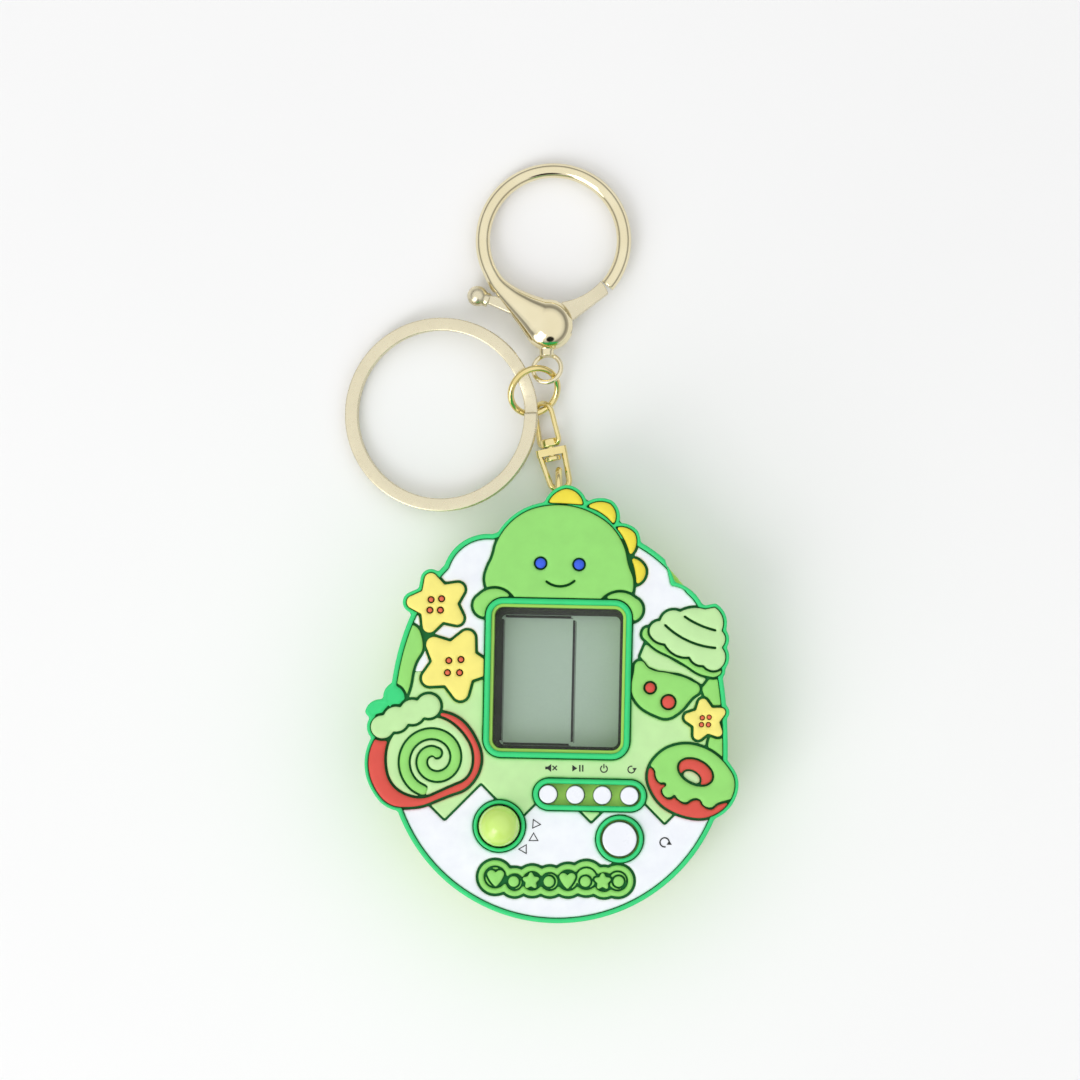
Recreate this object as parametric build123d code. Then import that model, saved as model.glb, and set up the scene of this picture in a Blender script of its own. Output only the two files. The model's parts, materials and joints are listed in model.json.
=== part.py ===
from build123d import *
import math
import os

# Virtual pet keychain: an egg-shaped pocket game in a soft moulded cover, on a key ring and a clasp.
# The frame is the game lying on its back: +Z out of its front, +Y towards the key ring,
# and the origin at the middle of its back face. All lengths are in millimetres.

# ---------------------------------------------------------------- driving dimensions

# case
EGG_RADIUS = 25.6            # round lower end of the plastic case, and its half width
EGG_RISE = 34.6              # height of the upper end above the widest line
EGG_POWER = 2.4              # fullness of the upper end
EGG_CENTRE_Y = -4.3          # the widest line
WALL = 1.5
SPLIT_Z = 8.0                # where the rear and the front shell meet
CASE_TOP = 13.0              # front face of the plastic case
PLATE_UNDER = CASE_TOP - WALL
GAP = 0.2                    # clearance round pieces that move

# soft cover
SKIRT_Z = 9.5                # lower edge of the cover's skirt
BASE_TOP = 15.2              # dark base that shows in the grooves
LOW_PAD = 15.8               # white and pale background panels
PAD = 16.2                   # ordinary coloured pads
HIGH_PAD = 16.6              # head, stars and sweets
RIM_TOP = 16.3
RING_TOP = 16.8              # rings round the display and the controls
RIM_WIDTH = 0.7
GROOVE = 0.42
SOFT_EDGE = 0.2
LINE_WIDTH = 0.38            # lines cut through the pads: the smile and the swirls of the cream
OUTLINE_GAP = 0.62           # how far the cover stands out past the pads on its edge
RIM_GAP = 0.14               # groove between the rim and those pads

# display
BEZEL_SIZE = (22.4, 24.4)
BEZEL_CENTRE = (0.0, 7.1)
BEZEL_TURN = -1.2
BEZEL_CORNER = 2.7
BEZEL_WIDTH = 0.85
LINER_WIDTH = 0.45
GLASS_SIZE = (23.0, 25.6)
GLASS_Z = (9.9, 11.3)

# controls
STICK_CENTRE = (-8.95, -15.5)
STICK_RING = (3.95, 3.4)
BALL_RADIUS = 3.15
BALL_Z = 16.9
BALL_FLAT = 14.4
TURN_CENTRE = (9.5, -17.5)
TURN_RING = (3.6, 3.0)
TURN_RADIUS = 2.62
ROW_CENTRE = (4.9, -10.75)
ROW_SIZE = (17.3, 4.8)
ROW_RING = 0.75
KEY_RADIUS = 1.37
KEY_X = (-1.45, 2.7, 6.85, 11.0)
KEY_NAMES = ("mute_button", "pause_button", "power_button", "reset_button")
COLLAR_Z = 14.6              # plastic floor seen round the buttons

# inside
BOARD_Z = (7.3, 8.3)
CELL_RADIUS = 5.8
CELL_HEIGHT = 5.4
CELL_X = (-9.0, 3.0)
CELL_Y = -4.0
DOOR_SIZE = (33.0, 15.0)
DOOR_X = -0.5
DOOR_TOP = 1.2
SCREW_X = 12.5
BUZZER = (-12.0, 14.0)
LEDGE_Z = 12.6              # ledge under the lens
BOSSES = ((-19.0, 9.0), (19.0, 9.0), (-16.0, -17.0), (16.0, -17.0))
BOSS_RADIUS = 2.5
SCREW_BORE = 1.05
SCREW_SINK = (2.0, 1.4)         # radius and depth of the sink for a screw head
SOUND_HOLES = 6
SOUND_CIRCLE = 3.0

# key hardware
LUG_HOLE = (0.0, 33.7)
LUG_Z = (2.5, 4.5)
LUG_RADIUS = 2.0
LINK_RADIUS = 2.9
LINK_WIRE = 0.5
LINK_CENTRE = (0.0, 36.6, 3.5)
SWIVEL_PLACE = Location((-1.23, 42.6, 1.95), (-1.15, 0, 11.47))   # swivel axis along its own +Y
SWIVEL_WIRE = 0.45
SHACKLE_ROLL = -44.6
SHACKLE_WIRE = 0.4
SHACKLE_TOP = 7.4
SHACKLE_HALF = (2.12, 1.83)   # half width at the feet and at the round end
RING_RADIUS = 3.85
RING_WIRE = 0.5
RING_CENTRE = (-3.83, 51.71, 3.635)
RING_TILT = (34.2, 129.4)  # tilt, and the direction in which it rises
SPLIT_RADIUS = 14.0
SPLIT_BAND = 2.0
SPLIT_CENTRE = (-18.2, 48.1, 2.65)
SPLIT_TILT = (6.47, 0.0)
COIL_THICK = 0.9
COIL_GAP = 0.08
EYE_RING = (2.2, 0.4)
EYE_CENTRE = (-1.81, 55.18, 3.655)
EYE_TILT = (20.7, 306.7)
CLASP_PLACE = Location((-1.6, 62.0, 3.3), (-4.6, 0, 0))        # middle of the clasp's bulb
CLASP_RING = (10.93, 1.15, 1.2)       # middle radius, half width, half thickness
CLASP_RING_CENTRE = (0.74, 13.15)     # from the bulb
CLASP_PIVOT = (0.1, 0.6)
BEAK_REACH = 10.1                     # from the pivot to the end of the gate

# printed and moulded details
EYES = ((-2.6, 24.8), (3.3, 24.6))
EYE_RADIUS = 0.78
CUP_DOTS = (((14.2, 5.7), 0.75), ((17.0, 3.5), 0.95))
ICONS = ((-1.0, -6.6), (3.1, -6.65), (7.1, -6.75), (11.3, -6.85), (16.4, -18.0))
ARROWS = (((-3.4, -15.2), -5.0), ((-3.7, -17.35), 90.0), ((-5.2, -19.05), 180.0))

PARTS = {}


# ---------------------------------------------------------------- helpers

def keep(name, *shapes):
    """File one node: a single solid, or a group of separate solids."""
    PARTS[name] = shapes[0] if len(shapes) == 1 else Compound(children=list(shapes))


def biarc(start, start_way, end, end_way):
    """Two arcs that join smoothly and run from one point and direction to another."""
    reach = end - start
    turn = 1 - start_way.dot(end_way)
    along = reach.dot(start_way + end_way)
    if turn < 1e-6:
        return [Line(start, end)]
    length = (math.sqrt(along ** 2 + 2 * turn * reach.dot(reach)) - along) / (2 * turn)
    middle = (start + end + (start_way - end_way) * length) * 0.5
    return [TangentArc(start, middle, tangent=start_way),
            TangentArc(end, middle, tangent=-end_way)]


def arc_chain(points, closed=True, ways=None):
    """Smooth chain of arcs through the points."""
    spots = [Vector(*point) for point in points]
    count = len(spots)
    if ways is None:
        ways = []
        for k in range(count):
            back = spots[k] - spots[k - 1] if closed or k else spots[1] - spots[0]
            ahead = spots[(k + 1) % count] - spots[k] if closed or k < count - 1 else back
            ways.append((back * (1 / back.dot(back)) + ahead * (1 / ahead.dot(ahead))).normalized())
    pairs = range(count if closed else count - 1)
    return [arc for k in pairs
            for arc in biarc(spots[k], ways[k], spots[(k + 1) % count], ways[(k + 1) % count])]


def smooth_face(points):
    """Closed smooth outline through the points."""
    return make_face(arc_chain(points))


def arc_face(points):
    """Closed outline of arcs: a corner, a point on the arc, a corner, and so on."""
    count = len(points)
    arcs = [ThreePointArc(points[i], points[i + 1], points[(i + 2) % count])
            for i in range(0, count, 2)]
    return make_face(arcs)


def disc(centre, radius):
    return Pos(*centre) * Circle(radius)


def grown(face, amount):
    return offset(face, amount=amount, kind=Kind.ARC)


def slab(face, bottom, top):
    """Extrude a flat outline between two heights."""
    return extrude(Pos(0, 0, bottom) * face, amount=top - bottom)


def top_edges(solid):
    top = solid.faces().sort_by(Axis.Z)[-1]
    return top.edges()


def round_corners(face, radius):
    """Round every corner of an outline; an outline of free curves that can't be moved out and back stays."""
    try:
        rounded = grown(grown(grown(face, -radius), 2 * radius), -radius)
        return rounded if rounded.area > 0.9 * face.area else face
    except Exception:
        return face


def round_top(body, edge):
    """Round the upper edges, or bevel them where a round can't close at a corner."""
    for tool, size in ((fillet, edge), (fillet, 0.6 * edge), (chamfer, 0.6 * edge), (chamfer, 0.3 * edge)):
        try:
            softened = tool(top_edges(body), size)
            if softened.is_valid:
                return softened
        except Exception:
            continue
    return body


def soft_pad(face, bottom, top, edge=SOFT_EDGE, lines=()):
    """Pads with rounded upper edges, one for each piece of the outline, and lines cut through them."""
    pieces = [part for piece in face.faces() for part in round_corners(piece, 1.15 * edge).faces()]
    pads = [round_top(slab(piece, bottom, top), edge) for piece in pieces]
    for line in lines:
        pads = [pad - slab(line, bottom - 1, top + 1) for pad in pads]
    return pads


def stroke_face(start, middle, end, width=LINE_WIDTH):
    """Curved line of even width with round ends."""
    path = ThreePointArc(start, middle, end)
    centre = path.arc_center
    half = width / 2

    def beside(point, reach):
        return centre + (Vector(*point) - centre).normalized() * (path.radius + reach)

    inner = [beside(point, -half) for point in (start, middle, end)]
    outer = [beside(point, half) for point in (end, middle, start)]
    return make_face([ThreePointArc(*inner),
                      ThreePointArc(inner[2], Vector(*end) + (path % 1) * half, outer[0]),
                      ThreePointArc(*outer),
                      ThreePointArc(outer[2], Vector(*start) - (path % 0) * half, inner[0])])


def ring_pad(ring, bottom, top, edge):
    body = slab(ring, bottom, top)
    return [fillet(top_edges(body), edge)]


def plain_pad(face, bottom, top):
    return [slab(piece, bottom, top) for piece in face.faces()]


def star_face(centre, reach, turn):
    """Five-pointed star with round tips; reach is the distance to a rounded tip."""
    tip = 1.27 * reach
    waist = 0.63 * reach
    corners = []
    for k in range(5):
        at = turn + 72 * k
        corners.append((tip * math.cos(math.radians(at)), tip * math.sin(math.radians(at))))
        corners.append((waist * math.cos(math.radians(at + 36)), waist * math.sin(math.radians(at + 36))))
    star = make_face(Polyline(*corners, close=True))
    tips = [v for v in star.vertices() if math.hypot(v.X, v.Y) > reach]
    return Pos(*centre) * fillet(tips, 0.21 * reach)


def egg_face(grow=0.0):
    """Case outline: half a circle below the widest line, a fuller oval above it."""
    radius = EGG_RADIUS + grow
    rise = EGG_RISE + grow
    steps = 12
    points = []
    ways = []
    for k in range(steps + 1):
        angle = math.pi * k / steps
        across = math.cos(angle)
        up = math.sin(angle)
        stretch = (abs(across) ** EGG_POWER + up ** EGG_POWER) ** (-1 / EGG_POWER)
        points.append((radius * across * stretch, EGG_CENTRE_Y + rise * up * stretch))
        slope_across = abs(across) ** (EGG_POWER - 1) * math.copysign(1, across) / radius
        slope_up = up ** (EGG_POWER - 1) / rise
        ways.append(Vector(-slope_up, slope_across).normalized())
    lower = ThreePointArc(points[-1], (0, EGG_CENTRE_Y - radius), points[0])
    return make_face(arc_chain(points, closed=False, ways=ways) + [lower])


def rounded_box(size, corner, centre=(0, 0), turn=0.0):
    return Pos(*centre) * Rot(0, 0, turn) * RectangleRounded(*size, corner)


def oval_face(half_width, half_height):
    angles = [math.radians(30 * k) for k in range(12)]
    return smooth_face([(half_width * math.cos(a), half_height * math.sin(a)) for a in angles])


def shrink(size, by):
    return (size[0] - 2 * by, size[1] - 2 * by)


def bezel_face(inset=0.0):
    return rounded_box(shrink(BEZEL_SIZE, inset), BEZEL_CORNER - inset, BEZEL_CENTRE, BEZEL_TURN)


def row_face(inset=0.0):
    size = shrink(ROW_SIZE, inset)
    return Pos(*ROW_CENTRE) * Rot(0, 0, BEZEL_TURN) * SlotOverall(size[0], size[1])


# ---------------------------------------------------------------- outlines of the moulded cover

def head_face():
    return smooth_face([(-10.7, 20.6), (-11.1, 22.6), (-10.7, 24.1), (-10.0, 25.6), (-9.2, 28.2),
                        (-6.0, 32.0), (0.3, 33.7), (5.2, 32.5), (8.6, 30.0), (10.2, 27.2),
                        (10.8, 24.6), (11.6, 22.0), (11.0, 19.0), (0.0, 17.5), (-9.6, 18.6)])


def spine_faces():
    """Four rounded plates that lean against the crown, from the top down the right side."""
    return [
        arc_face([(-1.4, 34.1), (-0.3, 35.5), (1.3, 36.2), (2.9, 35.6), (3.9, 33.8), (1.2, 34.0)]),
        arc_face([(4.5, 33.5), (6.4, 34.2), (8.0, 33.9), (8.8, 32.8), (8.6, 30.8), (6.8, 32.5)]),
        arc_face([(9.0, 30.3), (10.6, 30.2), (11.8, 29.4), (12.1, 28.2), (11.1, 26.0), (10.4, 28.2)]),
        arc_face([(11.3, 25.6), (12.6, 25.1), (13.4, 24.1), (13.4, 22.9), (12.1, 21.6), (11.9, 23.6)]),
    ]


def arm_faces():
    return [
        arc_face([(-7.0, 19.4), (-9.6, 20.9), (-12.0, 19.9), (-12.9, 18.1), (-11.0, 16.6), (-8.0, 17.0)]),
        arc_face([(6.9, 19.0), (9.4, 20.3), (11.9, 19.4), (13.0, 17.4), (11.0, 15.9), (8.0, 16.4)]),
    ]


def cloud_faces():
    """White shoulders of the cover, left and right of the head."""
    left = arc_face([(-9.0, 28.5), (-13.6, 28.0), (-17.1, 22.6), (-15.5, 21.0), (-16.0, 18.0), (-6.0, 20.0)])
    right = arc_face([(11.4, 26.6), (15.6, 24.9), (17.4, 21.4), (20.4, 19.9), (21.9, 17.6), (15.0, 16.0)])
    return [left, right]


def star_faces():
    return [
        star_face((-18.4, 18.7), 4.75, 105.8),
        star_face((-15.75, 9.3), 5.6, 64.8),
        star_face((22.72, 0.75), 3.3, 99.0),
    ]


def leaf_faces():
    return [
        arc_face([(-25.7, 3.1), (-26.05, 4.9), (-24.9, 6.0), (-23.7, 5.0), (-23.7, 3.2), (-24.8, 2.7)]),
        arc_face([(-28.9, 2.1), (-28.0, 3.15), (-25.9, 2.8), (-25.9, 2.2), (-26.5, 1.8), (-28.0, 1.4)]),
    ]


def roll_cream_face():
    """Band of whipped cream: four puffs in a row."""
    puffs = [((-26.9, -0.3), 1.75), ((-24.8, 0.9), 1.9), ((-22.3, 2.0), 1.85), ((-19.8, 2.9), 1.8)]
    band = disc(*puffs[0])
    for centre, radius in puffs[1:]:
        band = band + disc(centre, radius)
    return band


def roll_outer_face():
    return smooth_face([(-27.9, -2.0), (-29.0, -5.5), (-28.2, -9.3), (-25.8, -12.1), (-22.0, -12.5),
                        (-17.5, -11.0), (-13.4, -9.0), (-11.85, -5.6), (-12.9, -1.8), (-15.2, 0.9),
                        (-18.5, 2.0), (-23.5, 1.2)])


def roll_inner_face():
    return smooth_face([(-18.2, 1.05), (-15.0, -1.0), (-13.2, -4.6), (-13.7, -7.4), (-17.0, -9.4),
                        (-22.0, -10.8), (-25.0, -9.2), (-26.2, -5.3), (-25.1, -1.5), (-22.0, 0.6)])


def spiral_face(extra=0.0):
    """Filling of the roll: a strip that winds inwards one and a half turns."""
    centre = (-18.9, -5.3)
    half = 0.68 + extra / 2
    start = -104.0
    turns = 545.0
    steps = 20

    def at(fraction, side):
        angle = math.radians(start - turns * fraction)
        radius = 5.2 - 0.0076 * turns * fraction + side * half
        return (centre[0] + radius * math.cos(angle), centre[1] + radius * math.sin(angle))

    outer = arc_chain([at(k / steps, 1) for k in range(steps + 1)], closed=False)
    inner = arc_chain([at(k / steps, -1) for k in range(steps + 1)], closed=False)
    tip = math.radians(start - turns)
    away = (math.sin(tip), -math.cos(tip))
    middle = at(1, 0)
    cap = ThreePointArc(at(1, 1), (middle[0] + away[0] * half, middle[1] + away[1] * half), at(1, -1))
    return make_face(outer + [cap] + inner + [Line(at(0, -1), at(0, 1))])


def cream_face():
    """Whipped top of the cupcake."""
    return arc_face([(14.2, 13.9), (14.5, 15.4), (15.8, 15.9), (17.0, 17.4), (18.8, 17.3), (20.6, 17.9),
                     (22.6, 17.7), (23.4, 17.85), (24.1, 18.0), (25.3, 16.3), (25.1, 14.4), (25.7, 13.2),
                     (25.1, 11.9), (25.7, 10.1), (24.6, 8.5), (23.4, 8.45), (22.4, 9.2), (21.2, 9.4),
                     (20.3, 10.5), (18.0, 10.9), (16.5, 12.5), (15.1, 12.9)])


def lip_face():
    return smooth_face([(13.0, 13.9), (13.4, 14.8), (15.0, 14.4), (20.0, 11.5), (24.6, 9.2),
                        (25.1, 8.2), (24.2, 7.4), (23.0, 7.5), (18.5, 9.9), (14.0, 12.6)])


def paper_face():
    """Pale edge of the cup under the lip."""
    return make_face(Polyline((12.7, 10.5), (13.5, 12.4), (18.3, 9.5), (22.8, 7.1), (22.1, 6.2),
                              (20.4, 7.3), (18.6, 7.95), (15.7, 8.25), (13.8, 9.0), close=True))


def cup_face():
    return smooth_face([(12.6, 9.8), (14.1, 8.6), (17.5, 7.8), (20.2, 6.9), (21.8, 5.6), (20.4, 4.0),
                        (18.6, 2.0), (16.9, 1.1), (14.6, 1.7), (12.3, 3.3), (11.4, 5.0), (11.6, 7.5)])


def donut_face():
    return smooth_face([(19.3, -3.0), (15.8, -4.3), (13.9, -7.3), (15.1, -11.2), (19.0, -13.8),
                        (23.4, -14.0), (26.4, -11.6), (27.1, -8.7), (25.6, -5.9), (22.7, -3.7)])


def icing_wave():
    """Everything above the runny lower edge of the icing."""
    wave = [(13.6, -5.9), (14.9, -6.9), (15.1, -8.0), (15.6, -8.75), (16.6, -8.9), (16.05, -10.2),
            (16.9, -11.1), (17.6, -10.9), (17.8, -10.1), (18.4, -11.3), (19.8, -11.8), (20.4, -11.4),
            (21.2, -11.2), (22.0, -11.6), (22.3, -12.2), (23.4, -12.65), (24.6, -11.9), (25.6, -11.6),
            (27.5, -11.1)]
    closing = Polyline(wave[-1], (30.0, 0.0), (11.0, 0.0), wave[0])
    return make_face(arc_chain(wave, closed=False) + closing.edges())


def donut_hole_face(inset=0.0):
    return Pos(21.15, -7.2) * Rot(0, 0, -27) * oval_face(2.72 - inset, 1.72 - inset)


def donut_window_face(extra=0.0):
    return Pos(20.55, -8.05) * Rot(0, 0, -30) * oval_face(1.35 + extra, 0.82 + extra)


def plaque_face(inset=0.0):
    """Cloud plaque: a row of puffs of different sizes."""
    puffs = [(-9.6, -23.3, 2.55), (-6.6, -24.1, 2.15), (-3.9, -23.9, 2.3), (-1.2, -24.0, 2.25),
             (1.6, -23.8, 2.45), (4.4, -23.5, 2.6), (7.1, -24.1, 2.3), (9.2, -23.9, 2.4)]
    band = disc(puffs[0][:2], puffs[0][2] - inset)
    for x, y, radius in puffs[1:]:
        band = band + disc((x, y), radius - inset)
    return band


def zigzag_face():
    """Everything above the zigzag line between the pale and the white background."""
    points = [(-40.0, 14.0), (-40.0, 8.0)]
    x, y = -17.35, -14.4
    points.append((x - 12.6, y + 12.6))
    while x < 20:
        points.append((x, y))
        points.append((x + 5.6, y + 5.6))
        x = x + 11.25
        y = y - 0.2
    points.append((40.0, -6.0))
    points.append((40.0, 14.0))
    return make_face(Polyline(*points, close=True))


def edge_pads():
    """Outlines of the pads that reach the edge of the cover."""
    return ([head_face(), roll_outer_face(), roll_cream_face(), cream_face(), lip_face(), donut_face()]
            + spine_faces() + star_faces() + leaf_faces())


def notch_face():
    """Where the cover dips in behind its right shoulder and bares the plastic case."""
    return arc_face([(17.4, 21.4), (16.6, 25.0), (15.0, 32.0), (26.0, 32.0), (30.0, 20.5),
                     (22.2, 18.3), (21.9, 18.0), (20.3, 20.2)])


def cover_outline(grow=0.0):
    """Outer edge of the cover, or the same edge moved out or in."""
    whole = egg_face(0.5 + grow)
    whole = whole - notch_face()
    for face in edge_pads() + cloud_faces():
        whole = whole + grown(face, OUTLINE_GAP + grow)
    return whole


# ---------------------------------------------------------------- soft cover

def make_cover():
    """Dark base with its skirt, the raised rim round it and the rings round the openings."""
    outline = cover_outline()
    base = slab(outline, SKIRT_Z, BASE_TOP)
    base = base - slab(egg_face(0.05), SKIRT_Z - 1, CASE_TOP)
    base = base - slab(bezel_face(BEZEL_WIDTH), SKIRT_Z, RING_TOP)
    base = base - slab(row_face(ROW_RING), SKIRT_Z, RING_TOP)
    base = base - slab(disc(STICK_CENTRE, STICK_RING[1]), SKIRT_Z, RING_TOP)
    base = base - slab(disc(TURN_CENTRE, TURN_RING[1]), SKIRT_Z, RING_TOP)
    keep("cover_base", base)

    rim = cut(outline - cover_outline(-RIM_WIDTH), *[grown(face, RIM_GAP) for face in edge_pads()])
    rim_parts = [slab(piece, BASE_TOP, RIM_TOP) for piece in big_pieces(rim)]
    cream = grown(roll_cream_face(), GROOVE)
    leaves = [part for face in leaf_faces() for part in soft_pad(face - cream, BASE_TOP, PAD)]
    keep("cover_rim", *rim_parts, *leaves)

    rings = [
        bezel_face() - bezel_face(BEZEL_WIDTH),
        row_face() - row_face(ROW_RING),
        disc(STICK_CENTRE, STICK_RING[0]) - disc(STICK_CENTRE, STICK_RING[1]),
        disc(TURN_CENTRE, TURN_RING[0]) - disc(TURN_CENTRE, TURN_RING[1]),
    ]
    keep("control_rings", *[part for ring in rings for part in ring_pad(ring, BASE_TOP, RING_TOP, 0.24)])


def ring_blocks(extra=GROOVE * 0.4):
    """Room that the pads leave round the display ring and the control rings."""
    return [
        bezel_face(-extra),
        row_face(-extra),
        disc(STICK_CENTRE, STICK_RING[0] + extra),
        disc(TURN_CENTRE, TURN_RING[0] + extra),
    ]


def cut(face, *blocks):
    for block in blocks:
        face = face - block
    return face


def big_pieces(face, least=0.6):
    """Drop slivers that the grooves leave between neighbours."""
    return [piece for piece in face.faces() if piece.area > least]


def make_background():
    """White panels, pale panels and the darker side bands, all cut round what stands on them."""
    inside = cover_outline(-RIM_WIDTH - 0.12)
    pads = ([head_face(), roll_outer_face(), roll_cream_face(), cream_face(), lip_face(), cup_face(),
             paper_face(), donut_face()] + spine_faces() + star_faces() + leaf_faces() + arm_faces())
    blocks = [grown(face, GROOVE) for face in pads] + ring_blocks()
    left_band = smooth_face([(-22.6, 15.4), (-20.7, 12.3), (-22.0, 9.2), (-23.0, 5.0), (-24.5, 2.0),
                             (-29.0, 2.0), (-27.5, 9.0), (-24.6, 14.5)])
    right_band = smooth_face([(22.3, 7.6), (22.9, 3.0), (23.5, -1.0), (23.1, -3.6), (24.5, -6.5),
                              (28.5, -4.0), (28.0, 3.5), (26.0, 8.6)])
    bands = cut(inside & (left_band + right_band), *blocks)
    edge = grown(left_band, GROOVE) + grown(right_band, GROOVE)

    upper = cut(inside & rounded_box((64, 60), 1, (0, 30 + 8.2)), *blocks, edge)
    upper_parts = big_pieces(upper)
    zigzag = zigzag_face()
    middle = cut(inside & zigzag & rounded_box((64, 40), 1, (0, -11.8)), *blocks, edge)
    lower = cut(inside - grown(zigzag, GROOVE * 0.8), *blocks, edge, plaque_face(-GROOVE))
    below = rounded_box((64, 60), 1, (0, -32.0))
    lower_parts = big_pieces(lower & below)

    white = [part for face in upper_parts + lower_parts for part in plain_pad(face, BASE_TOP, LOW_PAD)]
    keep("white_panels", *white)
    keep("pale_panels", *[part for face in big_pieces(middle) for part in plain_pad(face, BASE_TOP, LOW_PAD)])
    keep("side_bands", *[part for face in big_pieces(bands) for part in plain_pad(face, BASE_TOP, PAD)])


def make_head():
    """Dinosaur head: a domed pad with eyes and a smile, two arms and a crest of spines."""
    head = cut(head_face(), *[grown(arm, GROOVE) for arm in arm_faces()], bezel_face(-0.2))
    for x, y in EYES:
        head = head - disc((x, y), EYE_RADIUS + 0.27)
    smile = stroke_face((-1.7, 22.0), (0.4, 21.25), (2.6, 22.1))
    keep("head_pad", *soft_pad(head, BASE_TOP, HIGH_PAD, 0.15, [smile]))
    keep("eyes", *[part for eye in EYES for part in soft_pad(disc(eye, EYE_RADIUS), BASE_TOP, HIGH_PAD + 0.1)])
    arms = [cut(arm, bezel_face(-0.2)) for arm in arm_faces()]
    keep("arm_pads", *[part for arm in arms for part in soft_pad(arm, BASE_TOP, HIGH_PAD)])
    crest = [spine - grown(head_face(), 0.3) for spine in spine_faces()]
    keep("spine_pads", *[part for spine in crest for part in soft_pad(spine, BASE_TOP, HIGH_PAD)])


def star_dots():
    """Centres of the four dots on each star."""
    square = ((-0.62, 0.52), (0.62, 0.62), (0.48, -0.72), (-0.76, -0.72))
    groups = [((-18.6, 18.55), 1.3), ((-15.75, 9.1), 1.5), ((22.72, 0.65), 0.85)]
    return [(c[0] + size * x, c[1] + size * y) for c, size in groups for x, y in square]


def make_stars():
    stars = [cut(star, bezel_face(-0.2)) for star in star_faces()]
    dots = star_dots()
    radii = [0.36] * 8 + [0.3] * 4
    pads = []
    for k, star in enumerate(stars):
        for dot, radius in zip(dots[4 * k:4 * k + 4], radii[4 * k:4 * k + 4]):
            star = star - disc(dot, radius + (0.2 if k < 2 else 0.12))
        pads = pads + soft_pad(max(star.faces(), key=lambda face: face.area), BASE_TOP, HIGH_PAD)
    keep("star_pads", *pads)
    keep("star_dots", *[part for dot, radius in zip(dots, radii)
                        for part in soft_pad(disc(dot, radius), BASE_TOP, HIGH_PAD, 0.12)])


def make_roll():
    """Swiss roll: cream on top, red sauce round it, and a pale face with a spiral filling."""
    keep("roll_cream", *soft_pad(roll_cream_face(), BASE_TOP, HIGH_PAD))
    face = roll_inner_face() - grown(roll_cream_face(), GROOVE)
    sauce = cut(roll_outer_face(), grown(roll_inner_face(), GROOVE), grown(roll_cream_face(), GROOVE))
    keep("roll_sauce", *[part for piece in big_pieces(sauce) for part in soft_pad(piece, BASE_TOP, HIGH_PAD)])
    pale = big_pieces(face - spiral_face(2 * GROOVE * 0.8))
    keep("roll_face", *[part for piece in pale for part in plain_pad(piece, BASE_TOP, PAD)])
    strip = big_pieces(spiral_face() & grown(face, -0.15))
    keep("roll_spiral", *[part for piece in strip for part in soft_pad(piece, BASE_TOP, PAD + 0.1, 0.12)])


def make_cupcake():
    """Cupcake lying on its side: whipped cream, lip, paper edge, cup and two dots."""
    swirls = [stroke_face((19.5, 16.6), (21.7, 15.35), (24.2, 14.5)),
              stroke_face((16.5, 15.3), (20.1, 12.85), (24.2, 11.8))]
    keep("cupcake_cream", *soft_pad(cream_face(), BASE_TOP, HIGH_PAD, SOFT_EDGE, swirls))
    lip = lip_face() - grown(cream_face(), 0.36)
    keep("cupcake_lip", *[part for piece in big_pieces(lip) for part in soft_pad(piece, BASE_TOP, HIGH_PAD)])
    paper = cut(paper_face(), grown(lip_face(), 0.36), grown(cup_face(), 0.2))
    keep("cupcake_band", *[part for piece in big_pieces(paper) for part in soft_pad(piece, BASE_TOP, PAD)])
    cup = cup_face() - grown(bezel_face(), 0.2)
    for centre, radius in CUP_DOTS:
        cup = cup - disc(centre, radius + 0.32)
    keep("cupcake_cup", *[part for piece in big_pieces(cup) for part in soft_pad(piece, BASE_TOP, HIGH_PAD)])
    keep("cupcake_dots", *[part for centre, radius in CUP_DOTS
                           for part in soft_pad(disc(centre, radius), BASE_TOP, HIGH_PAD)])


def make_donut():
    """Donut with icing that runs down, and a hole that shows its far wall."""
    icing = (donut_face() & icing_wave()) - donut_hole_face(-0.32)
    keep("donut_icing", *[part for piece in big_pieces(icing) for part in soft_pad(piece, BASE_TOP, HIGH_PAD)])
    dough = donut_face()
    for shift in ((0, 0), (0.12, -0.36), (-0.22, -0.1), (0.24, -0.1)):
        dough = dough - Pos(*shift) * icing_wave()
    far_wall = donut_hole_face() - donut_window_face(0.3)
    red = big_pieces(dough) + big_pieces(far_wall)
    keep("donut_dough", *[part for piece in red for part in soft_pad(piece, BASE_TOP, PAD, 0.15)])
    window = donut_window_face() & donut_hole_face(0.1)
    keep("donut_window", *soft_pad(window, BASE_TOP, LOW_PAD, 0.12))


def heart_face(centre, size):
    half = size / 2
    outline = [ThreePointArc((0, -half), (-0.75 * half, -0.1 * half), (-half, 0.45 * half)),
               ThreePointArc((-half, 0.45 * half), (-0.5 * half, 0.95 * half), (0, 0.5 * half)),
               ThreePointArc((0, 0.5 * half), (0.5 * half, 0.95 * half), (half, 0.45 * half)),
               ThreePointArc((half, 0.45 * half), (0.75 * half, -0.1 * half), (0, -half))]
    return Pos(*centre) * make_face(outline)


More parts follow.
